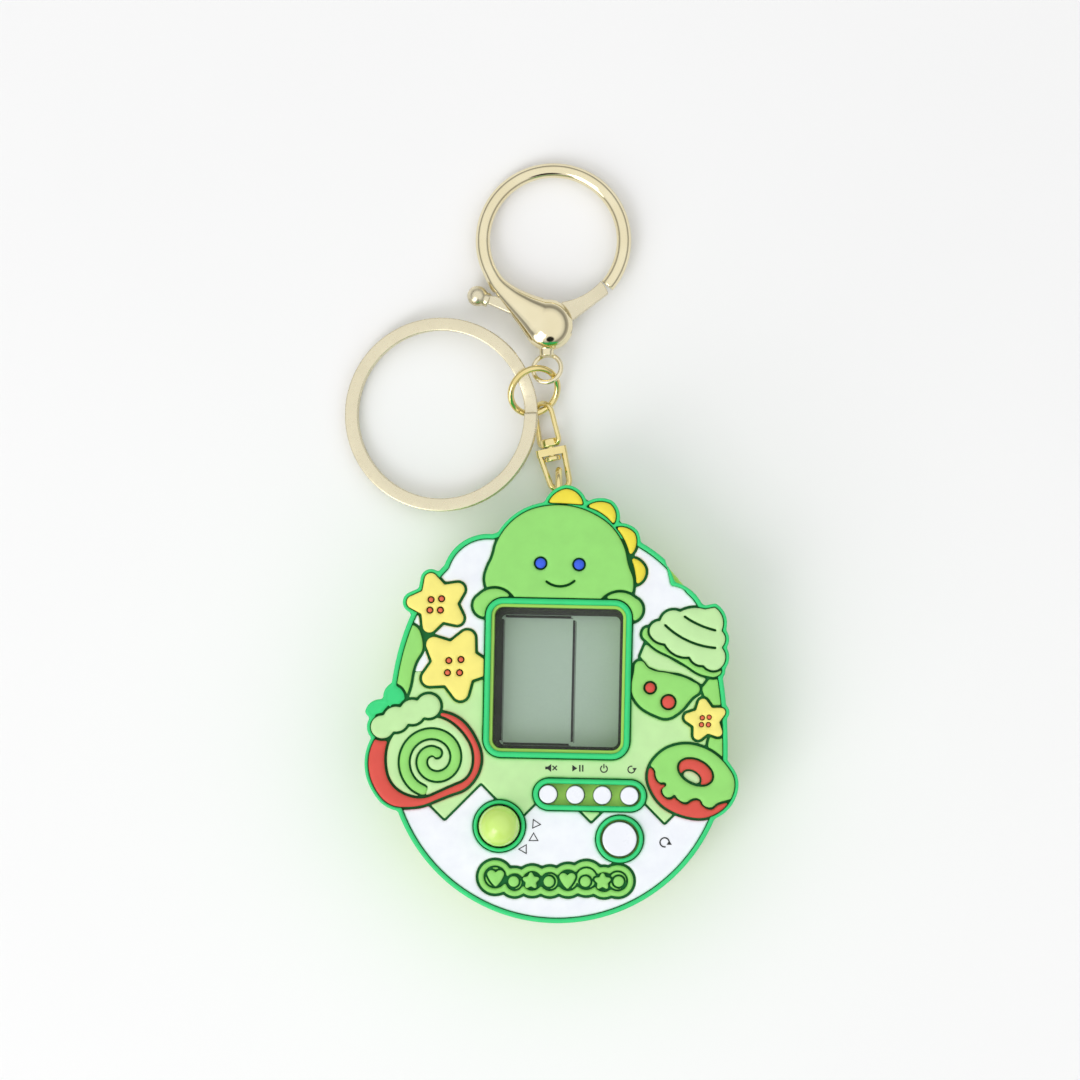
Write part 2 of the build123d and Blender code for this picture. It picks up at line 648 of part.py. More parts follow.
def make_plaque():
    """Cloud plaque under the controls: a raised double edge round hearts, stars and beads."""
    edge_width = 0.78
    edge = plaque_face() - plaque_face(edge_width)
    keep("plaque_base", *[part for piece in edge.faces() for part in soft_pad(piece, BASE_TOP, PAD, 0.15)])
    reliefs = [heart_face((-9.5, -23.5), 2.6), star_face((-4.1, -23.9), 1.3, 90),
               heart_face((1.5, -23.9), 2.5), star_face((6.9, -24.0), 1.3, 90)]
    reliefs = reliefs + [disc((x, -24.0), 0.8) for x in (-6.75, -1.35, 4.25, 9.35)]
    floor = cut(plaque_face(edge_width + 0.3), *[grown(face, 0.3) for face in reliefs])
    keep("plaque_relief", *[part for face in reliefs for part in soft_pad(face, BASE_TOP, HIGH_PAD, 0.12)],
         *[part for face in big_pieces(floor, 0.1) for part in plain_pad(face, BASE_TOP, LOW_PAD)])


def outline_ring(face, width):
    return face - grown(face, -width)


def triangle_face(centre, size, turn):
    return Pos(*centre) * Rot(0, 0, turn) * RegularPolygon(size, 3)


def make_icons():
    """Flat printed signs beside the controls: sound off, pause, power, restart, turn, and three arrows."""
    signs = [
        Pos(ICONS[0]) * (make_face(Polyline((-0.9, 0.2), (-0.5, 0.2), (0, 0.6), (0, -0.6), (-0.5, -0.2),
                                            (-0.9, -0.2), close=True))
                         + Pos(0.55, 0) * Rot(0, 0, 45) * (Rectangle(0.95, 0.17) + Rectangle(0.17, 0.95))),
        Pos(ICONS[1]) * (make_face(Polyline((-0.85, 0.5), (-0.85, -0.5), (-0.1, 0), close=True))
                         + Pos(0.3, 0) * Rectangle(0.2, 1.0) + Pos(0.75, 0) * Rectangle(0.2, 1.0)),
        Pos(ICONS[2]) * ((Circle(0.6) - Circle(0.43) - Pos(0, 0.6) * Rectangle(0.5, 0.7))
                         + Pos(0, 0.42) * Rectangle(0.17, 0.65)),
        Pos(ICONS[3]) * ((Circle(0.6) - Circle(0.43) - Pos(0.5, 0.3) * Rectangle(0.7, 0.6))
                         + Pos(0.5, 0.05) * Rot(0, 0, 30) * RegularPolygon(0.38, 3)),
        Pos(ICONS[4]) * ((Circle(0.8) - Circle(0.6) - Pos(0.6, -0.5) * Rectangle(0.9, 0.8))
                         + Pos(0.7, -0.15) * Rot(0, 0, -30) * RegularPolygon(0.45, 3)),
    ]
    arrows = [outline_ring(triangle_face(centre, 0.9, turn), 0.13) for centre, turn in ARROWS]
    keep("printed_icons", *[slab(piece, LOW_PAD, LOW_PAD + 0.06)
                            for sign in signs + arrows for piece in sign.faces()])


# ---------------------------------------------------------------- plastic case and its contents

def boss(centre, radius, hole, bottom, top):
    return slab(disc(centre, radius) - disc(centre, hole), bottom, top)


def make_rear_shell():
    """Rear shell with screw bosses, battery bay, sound holes and the lug for the key ring."""
    shell = slab(egg_face(), 0, SPLIT_Z)
    back = shell.faces().sort_by(Axis.Z)[0]
    shell = fillet(back.edges(), 2.0)
    shell = shell - slab(egg_face(-WALL), WALL, SPLIT_Z + 1)
    door = rounded_box((DOOR_SIZE[0] + 2 * GAP, DOOR_SIZE[1] + 2 * GAP), 3 + GAP, (DOOR_X, CELL_Y))
    bay = rounded_box(shrink(DOOR_SIZE, 1), 2, (DOOR_X, CELL_Y))
    bay_wall = rounded_box((DOOR_SIZE[0] + 1.5, DOOR_SIZE[1] + 1.5), 3.5, (DOOR_X, CELL_Y))
    shell = shell + slab(bay_wall, DOOR_TOP - 0.2, 6.5) - slab(bay, 0, 7) - slab(door, -1, DOOR_TOP)
    shell = shell + boss((SCREW_X, CELL_Y), 2.6, 0.85, DOOR_TOP + 0.05, 6.5)
    for centre in BOSSES:
        shell = shell + slab(disc(centre, BOSS_RADIUS), 0.2, BOARD_Z[0])
        shell = shell - slab(disc(centre, SCREW_BORE), -1, BOARD_Z[0] + 1)
        shell = shell - slab(disc(centre, SCREW_SINK[0]), -1, SCREW_SINK[1])
    for k in range(SOUND_HOLES):
        way = 2 * math.pi * k / SOUND_HOLES
        spot = (BUZZER[0] + SOUND_CIRCLE * math.cos(way), BUZZER[1] + SOUND_CIRCLE * math.sin(way))
        shell = shell - slab(disc(spot, 0.6), -1, WALL + 0.5)
    lug_foot = EGG_CENTRE_Y + EGG_RISE - 1.1
    lug_length = LUG_HOLE[1] - lug_foot
    lug = Pos(0, lug_foot + lug_length / 2) * Rectangle(2 * LUG_RADIUS, lug_length) + disc(LUG_HOLE, LUG_RADIUS)
    shell = shell + slab(lug - disc(LUG_HOLE, 2 * LINK_WIRE), *LUG_Z)
    keep("rear_shell", shell)


def make_front_shell():
    """Front shell: a window with a raised liner, a bowl for the stick and collars for the buttons."""
    liner = BEZEL_WIDTH + LINER_WIDTH
    shell = slab(egg_face(), SPLIT_Z, CASE_TOP)
    shell = fillet(top_edges(shell), 0.8)
    shell = shell - slab(egg_face(-WALL), SPLIT_Z - 1, PLATE_UNDER)
    shell = shell + slab(bezel_face(BEZEL_WIDTH + 0.04), PLATE_UNDER, RING_TOP - 0.9)
    shell = shell - slab(bezel_face(liner), LEDGE_Z, RING_TOP)
    shell = shell - slab(bezel_face(liner + 0.4), SPLIT_Z, RING_TOP)
    shell = shell + slab(row_face(ROW_RING + 0.04), PLATE_UNDER, COLLAR_Z)
    shell = shell + slab(disc(TURN_CENTRE, TURN_RING[1] - 0.04), PLATE_UNDER, COLLAR_Z)
    for centre in BOSSES:
        shell = shell + boss(centre, 2.2, 1.02, BOARD_Z[1] + 0.05, PLATE_UNDER + 0.2)
    shell = shell - slab(disc(TURN_CENTRE, TURN_RADIUS + 0.12), SPLIT_Z, RING_TOP)
    shell = shell - slab(disc(STICK_CENTRE, STICK_RING[1]), SPLIT_Z, RING_TOP)
    for x in KEY_X:
        shell = shell - slab(disc((x, key_y(x)), KEY_RADIUS + 0.12), SPLIT_Z, RING_TOP)
    keep("front_shell", shell)


def key_y(x):
    """The row of buttons leans with the display."""
    return ROW_CENTRE[1] + (x - ROW_CENTRE[0]) * math.tan(math.radians(BEZEL_TURN))


def make_fasteners():
    screws = [slab(disc(c, 1.85), 0.2, 1.35) + slab(disc(c, 1.0), 1.3, 10.8) - cross_recess(c, 0.2)
              for c in BOSSES]
    keep("case_screws", *screws)


def cross_recess(centre, bottom, size=1.9):
    cross = Rectangle(size, 0.45) + Rectangle(0.45, size)
    return slab(Pos(*centre) * cross, bottom - 0.5, bottom + 0.6)


def make_battery_bay():
    """Two button cells, their contacts, and the door with its screw."""
    cells = [slab(disc((x, CELL_Y), CELL_RADIUS), DOOR_TOP + 0.1, DOOR_TOP + 0.1 + CELL_HEIGHT) for x in CELL_X]
    keep("coin_cells", *[fillet(cell.edges().filter_by(GeomType.CIRCLE), 0.4) for cell in cells])
    top = DOOR_TOP + 0.1 + CELL_HEIGHT
    contacts = [slab(rounded_box((6, 3), 0.8, (x, CELL_Y)), top, top + 0.25)
                + slab(rounded_box((1.5, 3), 0.3, (x + 2, CELL_Y)), top + 0.2, BOARD_Z[0]) for x in CELL_X]
    keep("battery_contacts", *contacts)
    door = slab(rounded_box(DOOR_SIZE, 3, (DOOR_X, CELL_Y)), 0, DOOR_TOP)
    seat = (SCREW_X, CELL_Y)
    door = door - slab(disc(seat, 0.95), -1, 2) - slab(disc(seat, 1.75), -1, 0.65)
    for k in range(5):
        door = door - slab(Pos(DOOR_X - 13 + 1.2 * k, CELL_Y) * Rectangle(0.5, 7), -0.5, 0.35)
    keep("battery_door", door)
    screw = slab(disc(seat, 1.6), 0.1, 0.62) + slab(disc(seat, 0.8), 0.6, 5.5) - cross_recess(seat, -0.1, 1.7)
    keep("battery_door_screw", screw)


def make_electronics():
    board = slab(egg_face(-WALL - 0.4), *BOARD_Z)
    for centre in BOSSES:
        board = board - slab(disc(centre, 1.25), 0, 10)
    keep("circuit_board", board)
    blob = slab(disc((8.0, 11.0), 4.0), BOARD_Z[0] - 1.1, BOARD_Z[0])
    keep("chip_blob", fillet(blob.faces().sort_by(Axis.Z)[0].edges(), 0.8))
    keep("buzzer", slab(disc(BUZZER, 5.8) - disc(BUZZER, 0.8), WALL + 0.1, WALL + 1.9))
    sheet = slab(rounded_box((26, 13), 2, (0.2, -14.6)), BOARD_Z[1] + 0.05, BOARD_Z[1] + 0.55)
    for x in KEY_X:
        sheet = sheet + slab(disc((x, key_y(x)), 1.1), BOARD_Z[1] + 0.5, 9.0)
    sheet = sheet + slab(disc(TURN_CENTRE, 1.8), BOARD_Z[1] + 0.5, 9.0)
    keep("keypad_membrane", sheet)


def make_display():
    """Display glass in its holder, contact strips, printed field and the clear lens."""
    glass = rounded_box(GLASS_SIZE, 0.6, BEZEL_CENTRE, BEZEL_TURN)
    keep("display_glass", slab(glass, *GLASS_Z))
    outer = rounded_box((GLASS_SIZE[0] + 2.2, GLASS_SIZE[1] + 2.2), 1.2, BEZEL_CENTRE, BEZEL_TURN)
    keep("display_holder", slab(outer - grown(glass, 0.05), BOARD_Z[1] + 0.05, GLASS_Z[1] + 0.1))
    turn = Pos(*BEZEL_CENTRE) * Rot(0, 0, BEZEL_TURN)
    strips = [slab(turn * Pos(0, side * 11.6) * Rectangle(20, 1.4), BOARD_Z[1], GLASS_Z[0]) for side in (-1, 1)]
    keep("zebra_strips", *strips)
    liner = BEZEL_WIDTH + LINER_WIDTH
    lens = soft_pad(bezel_face(liner + 0.04), LEDGE_Z + 0.06, LEDGE_Z + 1.1, 0.15)
    keep("screen_lens", *lens)
    border = bezel_face(liner + 0.04) - bezel_face(liner + 0.45)
    field_top, field_low, field_left, field_right = 9.5, -10.1, -8.7, 2.3
    middle_x = (field_left + field_right) / 2
    middle_y = (field_top + field_low) / 2
    wide = Rectangle(field_right - field_left - 0.9, 0.26)
    tall = Rectangle(0.26, field_top - field_low - 0.9)
    lines = [turn * Pos(middle_x, field_top) * wide, turn * Pos(middle_x, field_low) * wide,
             turn * Pos(field_left, middle_y) * tall, turn * Pos(field_right, middle_y) * tall]
    printed = [slab(border, LEDGE_Z, LEDGE_Z + 0.05)] + [slab(line, GLASS_Z[1], GLASS_Z[1] + 0.05) for line in lines]
    keep("screen_print", *printed)


def make_controls():
    """Joystick with its guide ring, and five buttons."""
    centre = STICK_CENTRE
    ball = Pos(centre[0], centre[1], BALL_Z) * Sphere(BALL_RADIUS)
    ball = ball & Pos(centre[0], centre[1], 20) * Box(10, 10, 2 * (20 - BALL_FLAT))
    keep("joystick_ball", ball)
    keep("joystick_stem", slab(disc(centre, 0.9), 9.7, BALL_FLAT))
    guide = rounded_box((5.4, 3.4), 1.6, centre) - rounded_box((4.2, 2.0), 0.95, centre)
    keep("joystick_guide", slab(guide, 10.2, 10.8))
    keep("rotate_button", push_button(TURN_CENTRE, TURN_RADIUS, 9.9, 17.4))
    for name, x in zip(KEY_NAMES, KEY_X):
        keep(name, push_button((x, key_y(x)), KEY_RADIUS, 9.7, 17.0))


def push_button(centre, radius, bottom, top):
    cap = soft_pad(disc(centre, radius), bottom, top, 0.25)[0]
    return cap + slab(disc(centre, radius + 0.5), bottom, bottom + 0.9)


# ---------------------------------------------------------------- key hardware

def tilted(centre, tilt, toward):
    """Plane whose X axis climbs by the tilt in the given direction."""
    lean = math.radians(tilt)
    way = math.radians(toward)
    normal = (-math.cos(way) * math.sin(lean), -math.sin(way) * math.sin(lean), math.cos(lean))
    climb = (math.cos(way) * math.cos(lean), math.sin(way) * math.cos(lean), math.sin(lean))
    return Plane(origin=centre, x_dir=climb, z_dir=normal)


def make_links():
    """Small link in the lug, swivel frame, spinning shackle and the round ring that joins the rest."""
    keep("small_link", Pos(*LINK_CENTRE) * Rot(0, 90, 0) * Torus(LINK_RADIUS, LINK_WIRE))

    feet = ((-1.95, -0.2), (1.95, -0.2))
    hips = ((-1.2, -4.9), (1.85, -4.9))
    path = Line(feet[0], hips[0]) + ThreePointArc(hips[0], (0.35, -6.35), hips[1]) + Line(hips[1], feet[1])
    section = Plane(origin=feet[0], z_dir=(hips[0][0] - feet[0][0], hips[0][1] - feet[0][1], 0)) * Circle(SWIVEL_WIRE)
    frame = sweep(section, path=path)
    plate = Pos(0, -0.25, 0) * Box(4.8, 1.1, 1.7)
    plate = fillet(plate.edges().filter_by(Axis.Y), 0.5)
    frame = frame + plate - Rot(90, 0, 0) * Cylinder(0.62, 4)
    keep("swivel_frame", SWIVEL_PLACE * frame)

    half_foot, half_end = SHACKLE_HALF
    end_y = SHACKLE_TOP - half_end
    lean = math.atan2(half_foot - half_end, end_y - 1.4)
    reach = (half_end * math.cos(lean), end_y + half_end * math.sin(lean))
    foot = (reach[0] + (reach[1] - 0.95) * math.tan(lean), 0.95)
    loop = make_face([Line((-foot[0], foot[1]), (-reach[0], reach[1])),
                      ThreePointArc((-reach[0], reach[1]), (0, SHACKLE_TOP), reach),
                      Line(reach, foot), Line(foot, (-foot[0], foot[1]))])
    corners = [v for v in loop.vertices() if v.Y < 1.5]
    loop = fillet(corners, 0.6)
    wire = loop.wire()
    start = Plane(origin=wire @ 0, z_dir=wire % 0) * Circle(SHACKLE_WIRE)
    shackle = sweep(start, path=wire)
    drum = Pos(0, 1.15, 0) * Rot(90, 0, 0) * Cylinder(1.5, 1.3)
    drum = fillet(drum.edges(), 0.25)
    pin = Pos(0, -0.3, 0) * Rot(90, 0, 0) * Cylinder(0.5, 2.8)
    head = Pos(0, -1.35, 0) * Rot(90, 0, 0) * Cylinder(1.25, 0.8)
    head = fillet(head.edges(), 0.25)
    keep("swivel_shackle", SWIVEL_PLACE * Rot(0, SHACKLE_ROLL, 0) * (shackle + drum + pin + head))

    keep("round_link", tilted(RING_CENTRE, *RING_TILT) * Torus(RING_RADIUS, RING_WIRE))


def make_split_ring():
    """Key ring of flat wire: two coils, a crossing between them and two cut ends."""
    level = (COIL_THICK + COIL_GAP) / 2
    cross_from, cross_to = 5.0, 35.0

    def coil(height, start, end):
        section = Plane.XZ * Pos(SPLIT_RADIUS, height) * Rectangle(SPLIT_BAND, COIL_THICK)
        return Rot(0, 0, start) * revolve(section, Axis.Z, end - start)

    def section_at(angle, height):
        way = math.radians(angle)
        spot = (SPLIT_RADIUS * math.cos(way), SPLIT_RADIUS * math.sin(way), height)
        return Plane(origin=spot, x_dir=(math.cos(way), math.sin(way), 0),
                     z_dir=(-math.sin(way), math.cos(way), 0)) * Rectangle(SPLIT_BAND, COIL_THICK)

    low = coil(-level, cross_to + 4, cross_from + 360)
    high = coil(level, cross_to, 360 + 2)
    steps = 6
    ramp = loft([section_at(cross_from + (cross_to - cross_from) * k / steps,
                            -level * math.cos(math.pi * k / steps)) for k in range(steps + 1)])
    keep("split_ring", tilted(SPLIT_CENTRE, *SPLIT_TILT) * Rot(0, 0, -SPLIT_TILT[1]) * (low + ramp + high))


def make_clasp():
    """Ring clasp: hook, neck and bulb in one casting with its eye, a sprung gate with a thumb knob."""
    middle, half_width, half_thick = CLASP_RING
    centre = CLASP_RING_CENTRE
    arc = CenterArc(centre, middle, -50, 272)
    section = Plane(origin=arc @ 0, z_dir=arc % 0) * Ellipse(half_width, half_thick)
    hook = sweep(section, path=arc)
    bite = slab(disc(CLASP_PIVOT, BEAK_REACH + 0.12), -3, 3) & Pos(10, 3, 0) * Box(11, 12, 8)
    hook = hook - bite

    neck_outline = smooth_face([(-8.9, 8.4), (-10.2, 8.3), (-9.2, 5.9), (-6.6, 3.2), (-4.6, 0.2), (-2.2, -2.8),
                                (1.5, -3.1), (3.4, -0.4), (2.8, 2.6), (0.6, 4.0), (-3.5, 5.1), (-6.6, 6.9)])
    neck = slab(neck_outline, -1.7, 1.7)
    flat, swell, high = 1.0, 3.8, 2.8
    bulb = revolve(Plane.XZ * make_face([Line((0, -high), (flat, -high)),
                                         ThreePointArc((flat, -high), (swell, 0), (flat, high)),
                                         Line((flat, high), (0, high)),
                                         Line((0, high), (0, -high))]), Axis.Z)
    stem = Pos(-0.3, -3.95, 0) * Rot(90, 0, 0) * Cylinder(1.1, 2.0)
    body = hook + neck + bulb + stem
    slot_outline = make_face(Polyline((0.2, -2.4), (4.4, -1.2), (4.4, 4.8), (0.2, 4.3), (-2.6, 3.8), (-7.2, 4.7),
                                      (-10.4, 5.6), (-10.4, -2.2), (-2.4, -2.2), close=True))
    body = body - slab(slot_outline, -0.95, 0.95)
    body = body - slab(disc(CLASP_PIVOT, 0.6), -4, 4)
    eye = tilted(EYE_CENTRE, *EYE_TILT) * Torus(*EYE_RING)
    keep("clasp_frame", CLASP_PLACE * body + eye)

    gate_start, gate_end = -82.0, -40.0

    def on_ring(radius, angle):
        way = math.radians(angle)
        return (centre[0] + radius * math.cos(way), centre[1] + radius * math.sin(way))

    inside = middle - half_width
    gate = make_face([ThreePointArc(on_ring(inside, gate_start), on_ring(inside, (gate_start + gate_end) / 2),
                                    on_ring(inside, gate_end)),
                      Line(on_ring(inside, gate_end), on_ring(middle + half_width, gate_end)),
                      Line(on_ring(middle + half_width, gate_end), (3.2, 0.2)),
                      Line((3.2, 0.2), (0.4, -0.6)),
                      Line((0.4, -0.6), on_ring(inside, gate_start))])
    gate = gate & disc(CLASP_PIVOT, BEAK_REACH)
    hub = disc(CLASP_PIVOT, 1.9)
    thumb = make_face(Polyline((0, -0.9), (-9.6, 3.35), (-9.2, 4.55), (0.4, 2.4), close=True))
    lever = slab(gate + hub + thumb - disc(CLASP_PIVOT, 0.66), -0.85, 0.85)
    pocket = slab(disc(CLASP_PIVOT, 1.5), -0.42, 0.42)
    lever = lever - pocket
    ball, stalk, ball_y = 1.6, 1.1, 1.9
    seat = ball_y - math.sqrt(ball ** 2 - stalk ** 2)
    knob_profile = make_face([Line((0, 0), (stalk, 0)), Line((stalk, 0), (stalk, seat)),
                              ThreePointArc((stalk, seat), (ball, ball_y), (0, ball_y + ball)),
                              Line((0, ball_y + ball), (0, 0))])
    thumb_turn = math.degrees(math.atan2(3.9, -9.4)) - 90
    knob = Pos(-9.25, 3.75, 0) * Rot(0, 0, thumb_turn) * revolve(knob_profile, Axis.Y)
    keep("clasp_gate", CLASP_PLACE * (lever + knob))
    keep("clasp_pin", CLASP_PLACE * slab(disc(CLASP_PIVOT, 0.58), -2.75, 2.75))
    keep("clasp_spring", *[CLASP_PLACE * Pos(CLASP_PIVOT[0], CLASP_PIVOT[1], z) * Torus(1.1, 0.12)
                           for z in (-0.26, 0.0, 0.26)])


# ---------------------------------------------------------------- the whole object

make_rear_shell()
make_front_shell()
make_fasteners()
make_battery_bay()
make_electronics()
make_display()
make_controls()
make_cover()
make_background()
make_head()
make_stars()
make_roll()
make_cupcake()
make_donut()
make_plaque()
make_icons()
make_links()
make_split_ring()
make_clasp()

os.makedirs("parts", exist_ok=True)
for name, shape in PARTS.items():
    export_step(shape, f"parts/{name}.step")
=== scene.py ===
import json
import math

import bmesh
import bpy
from mathutils import Matrix, Vector, kdtree


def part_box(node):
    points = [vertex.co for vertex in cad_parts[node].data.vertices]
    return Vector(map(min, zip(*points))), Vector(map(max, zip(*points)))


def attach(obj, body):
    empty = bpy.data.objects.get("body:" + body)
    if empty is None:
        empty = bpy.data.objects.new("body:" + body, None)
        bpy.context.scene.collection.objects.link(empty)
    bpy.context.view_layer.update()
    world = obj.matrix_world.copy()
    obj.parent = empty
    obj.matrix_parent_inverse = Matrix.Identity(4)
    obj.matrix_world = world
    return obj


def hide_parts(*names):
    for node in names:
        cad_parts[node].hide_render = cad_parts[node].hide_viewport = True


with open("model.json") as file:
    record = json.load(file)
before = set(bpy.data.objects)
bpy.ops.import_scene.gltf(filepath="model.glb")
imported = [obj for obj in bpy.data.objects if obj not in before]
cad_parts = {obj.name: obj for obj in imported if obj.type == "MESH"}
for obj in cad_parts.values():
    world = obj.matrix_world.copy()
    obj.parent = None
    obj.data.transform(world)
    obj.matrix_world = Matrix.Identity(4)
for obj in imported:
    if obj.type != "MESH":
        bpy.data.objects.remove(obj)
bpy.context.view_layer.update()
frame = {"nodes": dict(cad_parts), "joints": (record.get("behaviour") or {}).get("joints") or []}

# Looks of the virtual pet keychain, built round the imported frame. Lengths are in metres unless a name says mm.

nodes = frame["nodes"]
joints = {joint["name"]: joint for joint in frame["joints"]}
scene = bpy.context.scene
MM = 0.001

FLOOR_Z = 0.0
VIEW_WIDTH = 0.16615                  # what the picture is wide, at the height of the cover's relief
VIEW_CENTRE = (-0.00277, 0.02846, 0.012)
VIEW_HEIGHT = 1.5                     # from the relief up to the camera
VIEW_LEAN = (0.026, -0.034)           # how far the camera stands to the right of the middle, and below it


# ---------------------------------------------------------------- colours and materials

def paint(red, green, blue):
    """Screen colour, 0 to 255, as the linear colour that a shader takes."""
    def linear(part):
        part = part / 255
        return part / 12.92 if part <= 0.04045 else ((part + 0.055) / 1.055) ** 2.4
    return (linear(red), linear(green), linear(blue), 1.0)


def shade(colour, factor):
    return (*[min(1.0, part * factor) for part in colour[:3]], 1.0)


def new_material(name):
    material = bpy.data.materials.new(name)
    material.use_nodes = True
    return material, material.node_tree, material.node_tree.nodes["Principled BSDF"]


def noise_node(tree, size_mm, detail=2.0):
    """Noise in object space whose features are about size_mm wide."""
    place = tree.nodes.new("ShaderNodeTexCoord")
    noise = tree.nodes.new("ShaderNodeTexNoise")
    noise.inputs["Scale"].default_value = 1 / (size_mm * MM)
    noise.inputs["Detail"].default_value = detail
    tree.links.new(place.outputs["Object"], noise.inputs["Vector"])
    return noise


def ramp_node(tree, factor, stops):
    ramp = tree.nodes.new("ShaderNodeValToRGB")
    ramp.color_ramp.elements[0].position = stops[0][0]
    ramp.color_ramp.elements[0].color = stops[0][1]
    ramp.color_ramp.elements[1].position = stops[-1][0]
    ramp.color_ramp.elements[1].color = stops[-1][1]
    for position, colour in stops[1:-1]:
        ramp.color_ramp.elements.new(position).color = colour
    tree.links.new(factor, ramp.inputs["Fac"])
    return ramp


def grey(value):
    return (value, value, value, 1.0)


def vary_roughness(tree, shader, size_mm, low, high):
    ramp = ramp_node(tree, noise_node(tree, size_mm).outputs["Fac"], [(0.3, grey(low)), (0.7, grey(high))])
    tree.links.new(ramp.outputs["Color"], shader.inputs["Roughness"])


def add_bump(tree, shader, height, depth_mm):
    bump = tree.nodes.new("ShaderNodeBump")
    bump.inputs["Distance"].default_value = depth_mm * MM
    tree.links.new(height, bump.inputs["Height"])
    tree.links.new(bump.outputs["Normal"], shader.inputs["Normal"])


def soft_rubber(name, colour, grain=0.012):
    """Matt moulded rubber: faint clouds in the colour and a fine grain."""
    material, tree, shader = new_material(name)
    clouds = noise_node(tree, 2.6, 3.0)
    tint = ramp_node(tree, clouds.outputs["Fac"], [(0.25, shade(colour, 0.955)), (0.75, shade(colour, 1.035))])
    tree.links.new(tint.outputs["Color"], shader.inputs["Base Color"])
    shader.inputs["Specular IOR Level"].default_value = 0.32
    vary_roughness(tree, shader, 0.8, 0.5, 0.62)
    add_bump(tree, shader, noise_node(tree, 0.16, 2.0).outputs["Fac"], grain)
    return material


def moulded_plastic(name, colour, roughness, grain=0.006, coat=0.0):
    """Hard moulded plastic with slow waves in the surface."""
    material, tree, shader = new_material(name)
    clouds = noise_node(tree, 3.5, 2.0)
    tint = ramp_node(tree, clouds.outputs["Fac"], [(0.25, shade(colour, 0.97)), (0.75, shade(colour, 1.02))])
    tree.links.new(tint.outputs["Color"], shader.inputs["Base Color"])
    shader.inputs["Specular IOR Level"].default_value = 0.5
    shader.inputs["Coat Weight"].default_value = coat
    shader.inputs["Coat Roughness"].default_value = 0.08
    vary_roughness(tree, shader, 1.2, roughness * 0.85, roughness * 1.15)
    add_bump(tree, shader, noise_node(tree, 0.3, 3.0).outputs["Fac"], grain)
    return material


def plated_metal(name, colour, dark, roughness):
    """Plated metal: two close tones, a fine grain and a slightly uneven polish."""
    material, tree, shader = new_material(name)
    clouds = noise_node(tree, 4.0, 1.0)
    tint = ramp_node(tree, clouds.outputs["Fac"], [(0.2, dark), (0.8, colour)])
    tree.links.new(tint.outputs["Color"], shader.inputs["Base Color"])
    shader.inputs["Metallic"].default_value = 1.0
    vary_roughness(tree, shader, 0.7, roughness * 0.7, roughness * 1.3)
    add_bump(tree, shader, noise_node(tree, 0.25, 3.0).outputs["Fac"], 0.0004)
    return material


def base_material():
    """Rubber of the cover's base, emerald on its outer walls; its up-facing faces, which show in the grooves,
    are dark green, partly the dark outline colour and partly painted shade of the deep narrow grooves.
    """
    material = soft_rubber("cover_dark", OUTLINE_AND_SHADE_GREEN)
    tree = material.node_tree
    surface = tree.nodes.new("ShaderNodeNewGeometry")
    parts = tree.nodes.new("ShaderNodeSeparateXYZ")
    tree.links.new(surface.outputs["Normal"], parts.inputs["Vector"])
    # Up-facing faces get the dark green, partly outline colour and partly painted groove shade; side walls stay
    # emerald.
    colour = ramp_node(tree, parts.outputs["Z"], [(0.35, EMERALD), (0.6, OUTLINE_AND_SHADE_GREEN)])
    cloud = ramp_node(tree, noise_node(tree, 2.6, 3.0).outputs["Fac"], [(0.25, grey(0.95)), (0.75, grey(1.0))])
    mix = tree.nodes.new("ShaderNodeMix")
    mix.data_type = "RGBA"
    mix.blend_type = "MULTIPLY"
    mix.inputs["Factor"].default_value = 1.0
    tree.links.new(colour.outputs["Color"], mix.inputs["A"])
    tree.links.new(cloud.outputs["Color"], mix.inputs["B"])
    tree.links.new(mix.outputs["Result"], tree.nodes["Principled BSDF"].inputs["Base Color"])
    return material


def display_material():
    """Grey-green display cell, a little darker towards one corner, with a faint grain."""
    material, tree, shader = new_material("display_cell")
    low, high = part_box("display_glass")
    place = tree.nodes.new("ShaderNodeTexCoord")
    slope = tree.nodes.new("ShaderNodeMapping")
    slope.inputs["Location"].default_value = (-low.x, -low.y, 0)
    turn = tree.nodes.new("ShaderNodeMapping")
    turn.inputs["Rotation"].default_value = (0, 0, math.radians(50))
    turn.inputs["Scale"].default_value = (26, 26, 26)
    gradient = tree.nodes.new("ShaderNodeTexGradient")
    tree.links.new(place.outputs["Object"], slope.inputs["Vector"])
    tree.links.new(slope.outputs["Vector"], turn.inputs["Vector"])
    tree.links.new(turn.outputs["Vector"], gradient.inputs["Vector"])
    wide = ramp_node(tree, gradient.outputs["Fac"],
                     [(0.0, paint(172, 192, 178)), (0.5, paint(164, 185, 170)), (1.0, paint(150, 168, 152))])
    grain = ramp_node(tree, noise_node(tree, 0.22, 2.0).outputs["Fac"], [(0.3, grey(0.93)), (0.7, grey(1.0))])
    mix = tree.nodes.new("ShaderNodeMix")
    mix.data_type = "RGBA"
    mix.blend_type = "MULTIPLY"
    mix.inputs["Factor"].default_value = 1.0
    tree.links.new(wide.outputs["Color"], mix.inputs["A"])
    tree.links.new(grain.outputs["Color"], mix.inputs["B"])
    tree.links.new(mix.outputs["Result"], shader.inputs["Base Color"])
    shader.inputs["Specular IOR Level"].default_value = 0.3
    vary_roughness(tree, shader, 0.4, 0.42, 0.5)
    return material


def lens_material():
    """Clear acrylic, nearly invisible except where it mirrors the lights."""
    material, tree, shader = new_material("clear_lens")
    tint = ramp_node(tree, noise_node(tree, 4.0).outputs["Fac"], [(0.3, grey(0.4)), (0.7, grey(0.5))])
    tree.links.new(tint.outputs["Color"], shader.inputs["Base Color"])
    shader.inputs["Alpha"].default_value = 0.035
    shader.inputs["IOR"].default_value = 1.49
    vary_roughness(tree, shader, 2.0, 0.03, 0.06)
    return material


